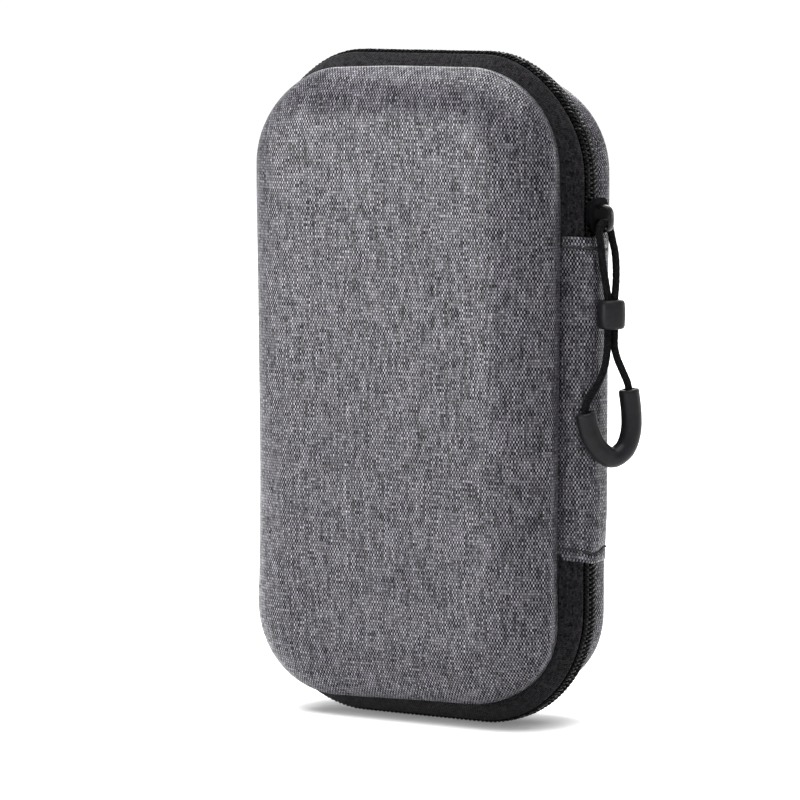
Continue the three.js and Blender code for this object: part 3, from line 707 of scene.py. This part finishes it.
def shell_profile(offset):
    """(inset, depth) from the flat of the face to the rim, at an offset inside the outer face."""
    turn = math.pi / 2 * (1 - np.arange(EDGE_STEPS + 1) / EDGE_STEPS)
    inset = WALL_INSET + EDGE_INWARD - (EDGE_INWARD - offset) * np.cos(turn) ** (2 / EDGE_POWER)
    depth = EDGE_START + (HALF_DEPTH - EDGE_START - offset) * np.sin(turn) ** (2 / EDGE_POWER)
    face = [(far, HALF_DEPTH - offset) for far in FACE_INSETS]
    return np.vstack([face, np.stack([inset, depth], -1)])


def tray_form(half, profile):
    """Loops along a profile as a closed solid, with cloth places unrolled from the face down the wall."""
    flat_inset = WALL_INSET + EDGE_INWARD
    flat, away = outline(flat_inset)
    rows, places = [], []
    beyond, last = 0.0, None
    for inset, depth in profile:
        loop = loop_at(inset)
        rows.append(at_depth(loop, half * depth))
        if inset < flat_inset and last is not None:
            onward = inset <= last[0] + LIP_SLACK
            beyond += math.hypot(inset - last[0], depth - last[1]) * (1 if onward else -1)
        spread = loop if inset >= flat_inset else flat + away * beyond
        places.append(np.insert(spread, 2, 0, axis=1))
        last = (inset, depth)
    return tube(np.array(rows), np.array(places))


def settled(form, half):
    """A half as its cloth sits: fuller at the top, drawn up at one lower corner, with soft dents."""
    points, faces, places = form
    x, _, z = points.T
    beside = np.abs(x)
    moved = points.copy()
    moved[:, 0] += np.sign(x) * TOP_FULLNESS[half] * eased(z, *FULL_HEIGHT) * eased(beside, *FULL_SIDE)
    moved[:, 0] += SIDE_BOW[half] * (1 - (2 * z / HEIGHT - 1) ** 2)
    moved[:, 2] += TOP_RISE[half] * eased(z, *RISE_HEIGHT) * eased(x, *RISE_SIDE)
    low = 1 - eased(z, *FOOT_HEIGHT)
    moved[:, 0] += np.sign(x) * FOOT_FULLNESS[half] * low * eased(beside, *FOOT_SIDE)
    moved[:, 2] += FOOT_LIFT * eased(-z, *FOOT_LIFT_HEIGHT) * eased(x, *FOOT_LIFT_SIDE)
    for i, point in enumerate(points):
        fields = [Vector(point) / UNEVEN_LENGTH + Vector((k * UNEVEN_APART, 0, 0)) for k in range(3)]
        moved[i] += UNEVEN * np.array([noise.noise(field) for field in fields])
    return moved, faces, places


def add_half(name, half):
    """Cover with its turned-in rim, foam and lining of one half."""
    turn = np.linspace(0, math.pi / 2, RIM_STEPS + 1)[1:]
    lip = WALL_INSET + RIM_TURN_IN
    rim = np.stack([lip - RIM_TURN_IN * np.cos(turn), EDGE_START - (EDGE_START - RIM) * np.sin(turn)], -1)
    under = [(lip + COVER_THICK, RIM + LIP_EDGE), (lip + COVER_THICK, RIM + LIP_DEEP)]
    layers = (
        ("cover_cloth", "cover", CLOTH, 0.0, COVER_THICK, [*rim, *under]),
        ("foam", "shell", FOAM, FOAM_FROM, FOAM_TO,
         [(lip + FOAM_FROM, RIM + FOAM_BACK), (WALL_INSET + FOAM_TO, RIM + FOAM_BACK)]),
        ("lining_cloth", "lining", LINING, LINING_FROM, LINING_TO,
         [(WALL_INSET + LINING_FROM, RIM), (WALL_INSET + LINING_TO, RIM)]),
    )
    for layer, node, material, outer, inner, edge in layers:
        profile = np.vstack([shell_profile(outer), edge, shell_profile(inner)[::-1]])
        add_piece(f"{name}_{layer}", settled(tray_form(half, profile), half), material, name,
                  [f"{name}_{node}"])


# Zip


def thick_section(points, thick):
    """A closed section: an open line of (inset, y) points and the same line moved inwards."""
    points = np.asarray(points, float)
    along = unit_rows(np.gradient(points, axis=0))
    return np.vstack([points, (points + thick * np.column_stack([along[:, 1], -along[:, 0]]))[::-1]])


TAPE_LINE = (
    (2.2, 0.12), (2.2, 1.1), (2.15, 2.1), (1.7, 2.5), (1.1, 2.75), (0.95, 3.05), (1.25, 3.7),
    (2.1, 4.9), (3.2, 6.2), (4.3, 7.4), (5.1, 8.05), (5.9, SEAM_Y - 0.03), (7.0, SEAM_Y), (8.9, SEAM_Y),
)


def chain_shift(y):
    """How far a tape is drawn over with the chain, which lies off the middle."""
    return ZIP_SHIFT * np.clip((ZIP_SHIFT_UNTIL - y) / (ZIP_SHIFT_UNTIL - ZIP_SHIFT_FROM), 0, 1)


def band_form(half, line, thick, run, closed=False, measured=0.0, shift=lambda y: 0.0):
    """A band with this section along a run of the outline; run(inset) gives its (x, z) points, and its
    length is measured at one inset."""
    across = run_along(line)
    columns = [at_depth(run(max(inset, 0.0)), half * y + shift(y)) for inset, y in thick_section(line, thick)]
    places = sheet_points(run_along(run(measured))[:, None], np.concatenate([across, across[::-1]]), 0.0)
    return grid(np.stack(columns, 1), places, close_rows=closed, close_cols=True, caps=not closed)


def tape_form(half, run):
    return band_form(half, TAPE_LINE, TAPE_THICK, run, shift=chain_shift)


def coil_form(half, start, end, phase):
    """A wound coil round its core, between two distances along the zip."""
    turns = (end - start) / COIL_PITCH
    wind = np.linspace(0, math.tau * turns, int(turns * COIL_STEPS) + 1)
    run = start + COIL_PITCH * wind / math.tau
    begin = math.tau * (start + phase) / COIL_PITCH
    out, side = signed_power(np.cos(wind + begin), COIL_SQUARE), np.sin(wind + begin)
    path = zip_path(run, COIL_INSET - COIL_INSET_REACH * out,
                    ZIP_SHIFT + half * (COIL_Y + COIL_Y_REACH * side))
    head = np.clip(-side, 0, 1) ** HEAD_POWER
    wire = sweep(path, circle(COIL_SIDES), WIRE_RADIUS * (1 + HEAD_SWELL * head))
    middle = zip_path(np.linspace(start, end, int((end - start) / CORE_STEP) + 2), COIL_INSET,
                      ZIP_SHIFT + half * (COIL_Y + CORE_ASIDE))
    core = sweep(middle, rounded_bar(CORE_WIDE, CORE_THICK, count=CORE_SIDES), first=(0, 1, 0))
    return joined([wire, core])


def ring_run(inset):
    return loop_at(inset)[RING_FROM:RING_TO + 1]


ENDS = (("upper", 1), ("lower", -1))
WHERE = {-1: "front", 1: "rear"}
END_HIDDEN = 1.9


def add_zip():
    """Tapes and coils: the ring rides on its half, and the last stretches, on the hinge side, are left free.
    """
    for name, half in HALVES:
        phase = COIL_PITCH / 2 if half > 0 else 0.0
        coil = coil_form(half, RING_START, ZIP_END - RING_START, phase)
        add_piece(name + "_tape", tape_form(half, ring_run), TAPE, name, [name + "_zip_tape"])
        add_piece(name + "_coil", coil, NYLON, name, [name + "_zip_coil"])
        for end, split in ENDS:
            hidden = PATCH_TOP - END_HIDDEN if split > 0 else PATCH_FOOT + END_HIDDEN
            stretch = (hidden - (HEIGHT - ZIP_CORNER), RING_START)
            if split < 0:
                stretch = (ZIP_END - RING_START, ZIP_END + hidden - ZIP_CORNER)
            tape = tape_form(half, lambda inset: side_run(inset, split, hidden))
            coil = coil_form(half, *stretch, phase)
            for kind, form, material, slot in (("tape", tape, TAPE, "woven_tape"),
                                               ("coil", coil, NYLON, "coil_nylon")):
                piece = add_piece(f"{name}_{kind}_end_{end}", form, material,
                                  replaces=[f"zip_{kind}_end_{end}_{WHERE[half]}"])
                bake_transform(piece)


# Hinge patch and liner

PATCH_HEM = (
    (1.6, -0.5), (0.55, -0.5), (0.1, -0.42), (0.0, -0.25), (0.1, -0.04), (0.35, 0.08), (0.8, 0.16),
    (1.4, 0.16), (1.95, 0.1), (2.3, -0.1), (2.5, -0.42), (PATCH_STITCH, -0.52), (2.9, -0.42), (3.15, -0.1),
    (3.7, 0.02), (5.6, 0.0),
)
PATCH_ROLL = ((0.9, 8.33), (1.4, 8.33))
PATCH_SHARES = np.linspace(0, 1, 26)
BODY_STEPS = 24
LINER_DISH, LINER_FLAP, LINER_THICK = 2.5, 1.5, 0.6
LINER_ROWS, LINER_COLS = 33, 11
PATCH_BEND, LINER_BEND, BEND_HEIGHT = (8.3, 4.2), (6.5, 2.5), HEIGHT / 2


def patch_inset(share, z):
    """Inset at a share of the way from the patch's middle to its edge, which is tucked behind the rim."""
    sewn = eased(z - PATCH_FOOT, *PATCH_TUCK_ENDS) * eased(PATCH_TOP - z, *PATCH_TUCK_ENDS)
    tuck = PATCH_END_TUCK + (PATCH_TUCK - PATCH_END_TUCK) * sewn
    dip = np.clip((share - PATCH_TUCK_FROM) / (1 - PATCH_TUCK_FROM), 0, 1) ** 2
    return SEAM_INSET - PATCH_DOME * (1 - share ** DOME_POWER) + tuck * dip


def patch_section(z):
    """(inset, y) at one height, from the middle of the patch to its rolled edge."""
    dome = np.stack([patch_inset(PATCH_SHARES, z), PATCH_SHARES * PATCH_HALF], -1)
    return np.vstack([dome, np.array(PATCH_ROLL) + (dome[-1, 0], 0)])


def patch_lean(z, side):
    """How far a point of the patch is moved up or down: the strip is sewn on a little askew."""
    over = z - PATCH_FOOT
    edge, seam = (np.interp(side, *zip(*line)) for line in (FOOT_EDGE, FOOT_SEAM))
    foot = edge + (seam - edge) * np.clip(over / PATCH_STITCH, 0, 1)
    upper = eased(z, PATCH_TOP - TOP_SKEW_FROM, PATCH_TOP - TOP_SKEW_TO)
    return foot * (1 - eased(over, PATCH_STITCH, FOOT_SKEW_TO)) + PATCH_TOP_SKEW * side * upper


def patch_fullness(z):
    """How far the patch stands out between its sewn ends."""
    return PATCH_FULLNESS * eased(z - PATCH_FOOT, *FULL_FOOT) * eased(PATCH_TOP - z, *FULL_TOP)


def patch_point(half, inset, y, z, out):
    """Points of the patch at an inset and a distance y from its middle, lifted by out."""
    share = np.clip(y / PATCH_HALF, 0, 1)
    lift = out * (1 - PATCH_LIFT_FADE * share ** LIFT_POWER)
    lift = lift + patch_fullness(z) * (1 - share ** DOME_POWER)
    return np.stack([HALF_WIDTH - inset + lift, half * y, z + patch_lean(z, half * share)], -1)


def patch_form(half):
    """One half of the patch, from its middle to its rolled edge, with a folded hem at each end."""
    foot = [(PATCH_FOOT + edge, out) for edge, out in PATCH_HEM]
    top = [(PATCH_TOP - edge, out) for edge, out in PATCH_HEM[::-1]]
    body = [(z, 0.0) for z in np.linspace(foot[-1][0], top[0][0], BODY_STEPS + 1)[1:-1]]
    points, places, inward = [], [], []
    for z, out in foot + body + top:
        section = patch_section(z)
        along = unit_rows(np.gradient(section, axis=0))
        points.append(patch_point(half, *section.T, z, out))
        places.append(sheet_points(half * run_along(section), z, 0.0))
        inward.append(-PATCH_THICK * sheet_points(along[:, 1], half * along[:, 0], 0.0))
    return slab(np.array(points), np.array(inward), np.array(places))


def rise(count):
    """How far a stitch stands out of the cloth along its length, from 0 to 1."""
    return np.sin(np.linspace(0, 1, count) * math.pi) ** RISE_POWER


def stitch(path, radius):
    """One stitch of thread, thinner where it dives into the cloth."""
    bulge = np.sin(np.linspace(*THREAD_SPAN, len(path)) * math.pi) ** BULGE_POWER
    return sweep(path, circle(THREAD_SIDES), radius * bulge)


def patch_stitches(half):
    """The stitch rows across both ends of one half of the patch."""
    forms = []
    out = STITCH_SUNK + STITCH_RISE * rise(STITCH_STEPS)
    for z in (PATCH_FOOT + PATCH_STITCH, PATCH_TOP - PATCH_STITCH):
        for number in range(STITCHES):
            begin = STITCH_GAP / 2 + number * (STITCH_LENGTH + STITCH_GAP)
            y = np.linspace(begin, begin + STITCH_LENGTH, STITCH_STEPS)
            path = patch_point(half, patch_inset(y / PATCH_HALF, z), y, z, out)
            forms.append(stitch(path, STITCH_RADIUS))
    return joined(forms)


def liner_form(half):
    """The liner behind the tapes: dished, with a flap sewn down on the face of the binding."""
    share = np.append(np.linspace(0, 1, LINER_COLS), 1.0)
    y = share * liner_high[1]
    dish = HALF_WIDTH - liner_high[0] + LINER_DISH * share ** 2
    dish[-1] += LINER_FLAP
    z = np.linspace(liner_low[2], liner_high[2], LINER_ROWS)[:, None]
    inward = np.tile([-LINER_THICK, 0, 0], (len(y), 1))
    inward[-2:, 1] = -half * LINER_THICK
    inward[-1, 0] = 0
    places = sheet_points(half * run_along(np.stack([y, dish], -1)), z, 0.0)
    return slab(sheet_points(HALF_WIDTH - dish, half * y, z), inward, places)


def add_hinge():
    """Patch, its stitch rows and the liner behind it, for each half, left free."""
    for name, half in HALVES:
        for kind, form, material, slot, node, bend in (
            ("patch", patch_form(half), CLOTH, "cover_cloth", ["hinge_patch"], PATCH_BEND),
            ("patch_stitches", patch_stitches(half), PATCH_THREAD, "cover_cloth", [], PATCH_BEND),
            ("liner", liner_form(half), LINING, "lining_cloth", ["hinge_liner"], LINER_BEND),
        ):
            piece = add_piece(f"hinge_{kind}_{name}", form, material, replaces=node)
            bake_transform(piece)


# Slider: a side is one half of an outline as (up, half width); a level is (out from a face, size)

PLATE_SIDE = ((0.0, 0.0), (0.05, 1.0), (0.45, 1.9), (1.2, 2.75), (2.2, 3.5), (3.6, 4.1), (5.4, 4.3),
              (7.2, 4.2), (8.4, 3.85), (9.1, 3.3), (9.45, 2.5), (9.5, 0.0))
POST_SIDE = ((0.0, 0.0), (0.15, 0.3), (0.9, 0.4), (1.9, 0.3), (2.2, 0.0))
LUG_SIDE = ((-0.75, 0.0), (-0.7, 0.8), (-0.3, 1.25), (0.3, 1.25), (0.7, 0.8), (0.75, 0.0))
TOP_LEVELS = ((-0.95, 0.95), (-0.89, 0.985), (-0.75, 1.0), (-0.38, 1.0), (-0.2, 0.975), (-0.08, 0.92),
              (-0.02, 0.82), (0.0, 0.5))
UNDER_LEVELS = ((0.0, 0.5), (0.05, 0.66), (0.2, 0.7), (0.75, 0.72), (0.9, 0.68))
LUG_LEVELS, LUG_END = ((-0.3, 1.1), (0.02, 1.05), (0.2, 0.9), (0.3, 0.6)), 0.45
POST_UP, POST_IN = 0.6, (0.6, -0.75)
FLANGE_SPAN, FLANGE_STEPS, FLANGE_TAPER = (3.0, 8.4), 16, (3, 0.55)
FLANGE_WIDE, FLANGE_THICK, FLANGE_ASIDE = 1.3, 0.62, 0.38
FLANGE_TOP, FLANGE_UNDER, UNDER_SIZE = -1.2, 1.15, 0.7
BAIL_WIDE, BAIL_THICK, BAIL_SUNK = 2.2, 0.85, 0.1
BAIL_ROUND, BAIL_SQUARE, BAIL_SWELL, BAIL_STEPS, BAIL_SIDES = 2.6, 0.62, 0.12, 41, 24
PLATE_POINTS, POST_POINTS, LUG_POINTS = 34, 10, 14


def rounded(side, count):
    """A closed outline from one side's points."""
    run = run_along(side)
    even = line_at(np.linspace(0, run[-1], count), run, np.array(side))[:, ::-1]
    return np.vstack([even, (even * (-1, 1))[-2:0:-1]])


def pillow(loop, levels, face, z_from):
    """Loops of one outline, each at its own distance from a face and its own size, closed at both ends."""
    middle = np.array([0, loop[:, 1].mean()])
    rows = [np.insert(middle + (loop - middle) * size + (0, z_from), 0, face + out, axis=1)
            for out, size in levels]
    return tube(np.array(rows))


def flange(side, x, size, z):
    """A guide along one side of a plate, thinner towards its ends."""
    up = np.linspace(*FLANGE_SPAN, FLANGE_STEPS)
    wide = size * np.interp(up, *zip(*PLATE_SIDE)) - FLANGE_ASIDE
    step = np.arange(FLANGE_STEPS)
    taper, least = FLANGE_TAPER
    ease = np.clip(np.minimum(step, step[::-1]) / taper + least, 0, 1)
    path = sheet_points(x, side * wide, z + up)
    return sweep(path, rounded_bar(FLANGE_WIDE, FLANGE_THICK), ease, (1, 0, 0))


def add_slider():
    """Two plates with guide flanges and a post, and the arched bail between its lugs."""
    under, _, z = slider_low
    top = slider_high[0]
    plate = rounded(PLATE_SIDE, PLATE_POINTS)
    post = ((under + POST_IN[0] - top, 1.0), (POST_IN[1], 1.0))
    forms = [pillow(plate, TOP_LEVELS, top, z), pillow(plate, UNDER_LEVELS, under, z),
             pillow(rounded(POST_SIDE, POST_POINTS), post, top, z + POST_UP)]
    forms += [flange(side, x, size, z) for side in (-1, 1)
              for x, size in ((top + FLANGE_TOP, 1.0), (under + FLANGE_UNDER, UNDER_SIZE))]
    forms += [pillow(rounded(LUG_SIDE, LUG_POINTS), LUG_LEVELS, top, up)
              for up in (bail_low[2] + LUG_END, bail_high[2] - LUG_END)]
    add_piece("zip_slider", joined(forms), ENAMEL, "slider", ["slider_body"])
    turn = np.linspace(0, math.pi, BAIL_STEPS)
    foot, middle = top - BAIL_SUNK, (bail_low[2] + bail_high[2]) / 2
    long, high = (bail_high[2] - bail_low[2] - BAIL_THICK) / 2, bail_high[0] - BAIL_THICK / 2 - foot
    path = sheet_points(foot + high * np.sin(turn) ** BAIL_SQUARE, 0.0,
                        middle - long * signed_power(np.cos(turn), BAIL_SQUARE))
    swell = 1 + BAIL_SWELL * np.abs(np.cos(turn)) ** 4
    arch = sweep(path, rounded_bar(BAIL_WIDE, BAIL_THICK, BAIL_ROUND, BAIL_SIDES), swell, (0, 1, 0))
    add_piece("slider_arch", arch, BAIL_ENAMEL, "slider", ["slider_bail"])


# Interior

BINDING_LINE = ((6.7, 6.82), (7.6, 6.8), (8.6, 6.8), (9.4, 6.82), (10.0, 6.92), (10.4, 7.2), (10.56, 7.7),
                (10.6, 8.4), (10.6, 9.2), (10.6, 10.0), (10.58, 10.9))
BINDING_THICK = 0.62
BINDING_STITCH_Y = 10.1
SEWING_LENGTH, SEWING_GAP, SEWING_RADIUS, SEWING_DIVE, SEWING_STEPS = 2.4, 0.5, 0.17, 0.2, 6
STRAP_FACE, STRAP_THICK, STRAP_BOW, STRAP_FLAT, STRAP_BEND = 0.12, 0.6, 0.3, 24.0, 7.0
STRAP_RIBS, RIB_DEPTH, STRAP_COLS, STRAP_ROWS = 11, 0.1, 49, 67
STRAP_SEAMS, STRAP_SEAM_ENDS = (2.2, 5.2), (1.0, 2.4)
STRAP_STITCH, STRAP_STITCH_STEP, STRAP_STITCH_UP, STRAP_STITCH_RISE = 2.1, 2.6, 0.1, 0.22


def loop_stitches(half, inset, y):
    """A stitch row round the inside of a half."""
    lines = [np.vstack([loop, loop[:1]]) for loop in (loop_at(inset), loop_at(inset + SEWING_DIVE))]
    run = run_along(lines[0])
    count = int(run[-1] / (SEWING_LENGTH + SEWING_GAP))
    forms = []
    for number in range(count):
        stretch = np.linspace(0, SEWING_LENGTH, SEWING_STEPS) + number * run[-1] / count
        low, high = (line_at(stretch, run, line) for line in lines)
        path = low + (high - low) * rise(SEWING_STEPS)[:, None]
        forms.append(stitch(at_depth(path, half * y), SEWING_RADIUS))
    return joined(forms)


def strap_depth(low, x):
    """Depth of a strap's face, which bows a little off the floor between its sewn ends."""
    return low[1] + STRAP_FACE + STRAP_BOW * np.clip((np.abs(x) - STRAP_FLAT) / STRAP_BEND, 0, 1) ** 2


def strap_form(low, high):
    """A ribbed elastic strap."""
    x = np.linspace(low[0], high[0], STRAP_COLS)
    z = np.linspace(low[2], high[2], STRAP_ROWS)[:, None]
    rib = RIB_DEPTH * np.cos((z - low[2]) / (high[2] - low[2]) * math.tau * STRAP_RIBS)
    return slab(sheet_points(x, strap_depth(low, x) + rib, z), np.array([0, STRAP_THICK, 0]),
                sheet_points(x, z, 0.0))


def strap_stitches(low, high):
    """Two rows of thread across each end of a strap."""
    forms = []
    for x in [low[0] + seam for seam in STRAP_SEAMS] + [high[0] - seam for seam in STRAP_SEAMS[::-1]]:
        y = strap_depth(low, x) + STRAP_STITCH_UP - STRAP_STITCH_RISE * rise(SEWING_STEPS)
        for begin in np.arange(low[2] + STRAP_SEAM_ENDS[0], high[2] - STRAP_SEAM_ENDS[1], STRAP_STITCH_STEP):
            z = np.linspace(begin, begin + STRAP_STITCH, SEWING_STEPS)
            forms.append(stitch(sheet_points(x, y, z), SEWING_RADIUS))
    return joined(forms)


NET_CELL, NET_THREAD, NET_KNOT = 2.4, 0.45, 0.3
NET_EDGE, NET_EDGE_STEP, NET_CORNER_STEPS = (0.9, 2.0), 2.0, 13
MOUTH_STEPS, MOUTH_THICK, MOUTH_ROUND, MOUTH_SIDES = 120, 1.0, 4.0, 32
GATHERS = ((0.08, 2.1, 0.0), (0.06, 3.7, 1.0))
NET_BOX = ((0, 1, 2, 3), (7, 6, 5, 4), (0, 4, 5, 1), (1, 5, 6, 2), (2, 6, 7, 3), (3, 7, 4, 0))


def net_form():
    """Hexagonal net inside the pocket's outline, with a bound edge along its sides and foot."""
    row_step, corner = NET_CELL * math.sqrt(3) / 2, NET_CELL / math.sqrt(3)
    radius = corner_radius(HALF_WIDTH - net_high[0])
    flat, foot = net_high[0] - radius, net_low[2] + radius
    spokes = [(corner * math.sin(k * math.pi / 3), corner * math.cos(k * math.pi / 3)) for k in range(6)]
    columns = int(net_high[0] / NET_CELL) + 2
    lines = set()
    for row in range(int((net_high[2] - net_low[2]) / row_step) + 2):
        for col in range(-columns, columns + 1):
            x, z = (col + 0.5 * (row % 2)) * NET_CELL, net_low[2] + row * row_step
            ring = [(round(x + aside, 3), round(z + up, 3)) for aside, up in spokes]
            lines.update((min(a, b), max(a, b)) for a, b in zip(ring, ring[1:] + ring[:1]))

    def inside(point):
        x, z = abs(point[0]), point[1]
        if z > net_high[2] or z < net_low[2] or x > net_high[0]:
            return False
        return math.hypot(max(x - flat, 0), max(foot - z, 0)) <= radius

    y = (net_low[1] + net_high[1]) / 2
    kept = np.array([line for line in sorted(lines) if inside(line[0]) and inside(line[1])])
    a, b = (at_depth(kept[:, k], y) for k in range(2))
    along = unit_rows(b - a)
    side = np.column_stack([along[:, 2], np.zeros(len(a)), -along[:, 0]]) * NET_THREAD / 2
    out = np.array([0, NET_THREAD / 2, 0])
    reach = along * NET_THREAD * NET_KNOT
    ends = [[point + sign * reach + u * side + v * out for u, v in CORNER_SIGNS]
            for point, sign in ((a, -1), (b, 1))]
    points = np.array(ends).transpose(2, 0, 1, 3).reshape(-1, 3)
    faces = [[i * 8 + k for k in quad] for i in range(len(a)) for quad in NET_BOX]
    turn = np.linspace(0, math.pi / 2, NET_CORNER_STEPS)
    edge = np.stack([flat + radius * np.cos(turn), foot - radius * np.sin(turn)], -1)
    edge = np.vstack([[(net_high[0], net_high[2])], edge])
    path, _ = smooth_path(at_depth(np.vstack([edge, edge[::-1] * (-1, 1)]), y), NET_EDGE_STEP)
    return joined([(points, faces, points), sweep(path, rounded_bar(*NET_EDGE), first=(0, 1, 0))])


def hem_form():
    """A gathered elastic tunnel along the pocket's mouth."""
    x = np.linspace(hem_low[0], hem_high[0], MOUTH_STEPS)
    _, y, z = (hem_low + hem_high) / 2
    gather = sum(deep * np.sin(x * often + begin) for deep, often, begin in GATHERS)
    section = rounded_bar(hem_high[2] - hem_low[2], MOUTH_THICK, MOUTH_ROUND, MOUTH_SIDES)
    rings = rings_along(sheet_points(x, y + gather, z), section, first=(0, 0, 1))
    return tube(rings, rings[..., (0, 2, 1)] * (1, 1, 0))


def add_interior():
    """Bindings, elastic straps and the net pocket."""
    for name, half in HALVES:
        band = band_form(half, BINDING_LINE, -BINDING_THICK, loop_at, True, BINDING_LINE[0][0])
        row = loop_stitches(half, BINDING_LINE[-2][0], BINDING_STITCH_Y)
        add_piece(name + "_binding_tape", band, BINDING, name, [name + "_binding"])
        add_piece(name + "_binding_stitches", row, SEWING_THREAD, name)
    for name in ("upper", "lower"):
        low, high = node_box("elastic_strap_" + name)
        strap, rows = strap_form(low, high), strap_stitches(low, high)
        add_piece("strap_" + name, strap, ELASTIC, "base", ["elastic_strap_" + name])
        add_piece("strap_stitches_" + name, rows, SEWING_THREAD, "base")
    net = add_piece("net_pocket_mesh", net_form(), NET, "lid", ["mesh_pocket"])
    hem = add_piece("net_pocket_hem", hem_form(), ELASTIC, "lid", ["mesh_pocket_hem"])


# Stage

WORLD_AMBIENT = 0.09
# The floor's glow at the footprint, the last value below, rises to full white within the shadow's reach:
# painted shade round the object's base.
FLOOR_HALF, FLOOR_COLOUR, FLOOR_ROUGH, FLOOR_GLOW = 20, 0.85, 0.9, 0.14
FOOTPRINT = (0.026, 0.004)
SHADOW_REACH = 0.026
LAMP_AIM = Vector((0, 0, HEIGHT / 2 * MM))
LAMPS = (
    # name, degrees round from the face and up, distance, width, height, watts
    ("key", -35, 5, 1.6, 0.5, 0.5, 10.6),
    ("rake", -60, 6, 1.6, 0.5, 0.9, 10.6),
    ("top", -18, 78, 1.4, 1.7, 1.3, 43.0),
    ("fill", 70, 5, 1.5, 0.4, 0.6, 0.4),
    ("side", 146, 8, 1.5, 1.4, 0.5, 2.2),
    ("strip", 149, 7, 1.2, 0.07, 0.3, 0.5),
    ("back", 205, 30, 1.6, 1.0, 1.0, 9.0),
)


def seen_rays(tree):
    """1 for rays that show what they meet: straight from the camera, mirrored, or let through."""
    path = tree.nodes.new("ShaderNodeLightPath").outputs
    seen = path["Is Camera Ray"]
    for ray in ("Is Glossy Ray", "Is Transmission Ray"):
        seen = add_node(tree, "Math", {0: seen, 1: path[ray]}, operation="MAXIMUM")
    return seen


def add_floor():
    """A pale floor that glows white away from the object. Its glow fades towards the footprint, painting
    shade round the object's base over its real shadow.
    """
    s = Shader("floor", {"Base Color": (*[FLOOR_COLOUR] * 3, 1), "Roughness": FLOOR_ROUGH,
                         "Specular IOR Level": 0.0, "Emission Color": (1, 1, 1, 1)})
    where = s.axes(s.node("TexCoord", {}, "Object"))
    past = [s.math("MAXIMUM", s.math("SUBTRACT", s.math("ABSOLUTE", where[k]), FOOTPRINT[k]), 0.0)
            for k in range(2)]
    away = s.node("VectorMath", {0: s.vector(*past)}, "Value", operation="LENGTH")
    # Painted shade: the glow drops from full white to a low level within a short reach of the footprint.
    glow = s.node("MapRange", {0: away, 1: 0.0, 2: SHADOW_REACH, 3: FLOOR_GLOW, 4: 1.0},
                  interpolation_type="SMOOTHSTEP")
    s.tree.links.new(s.math("MULTIPLY", glow, seen_rays(s.tree)), s.surface.inputs["Emission Strength"])
    floor = bpy.data.meshes.new("floor")
    floor.from_pydata([(*corner, 0) for corner in (CORNER_SIGNS * FLOOR_HALF).tolist()], [], [(0, 1, 2, 3)])
    floor.materials.append(s.material)
    linked("floor", floor)


def add_surround():
    """A white surround that gives only a little light of its own."""
    world = bpy.data.worlds.new("surround")
    bpy.context.scene.world = world
    world.use_nodes = True
    tree = world.node_tree
    level = add_node(tree, "MapRange", {"Value": seen_rays(tree), "To Min": WORLD_AMBIENT})
    background = tree.nodes["Background"].inputs
    tree.links.new(level, background["Strength"])
    background["Color"].default_value = (1, 1, 1, 1)


def add_lamps():
    """Soft lamps round the case, all aimed at its middle."""
    for name, around, up, distance, width, height, power in LAMPS:
        data = bpy.data.lights.new(name, "AREA")
        data.shape = "RECTANGLE"
        data.size, data.size_y, data.energy = width, height, power
        lamp = linked(name, data)
        lamp.location = LAMP_AIM + towards(around, up) * distance
        lamp.rotation_euler = towards(around, up).to_track_quat("Z", "Y").to_euler()


add_camera()
cord, cord_path, cord_length = add_cord()
bead = add_bead()
add_grip()
for half_name, half_sign in HALVES:
    add_half(half_name, half_sign)
add_zip()
add_hinge()
add_slider()
add_interior()
add_floor()
add_surround()
add_lamps()
bpy.context.scene.view_settings.view_transform = "Standard"
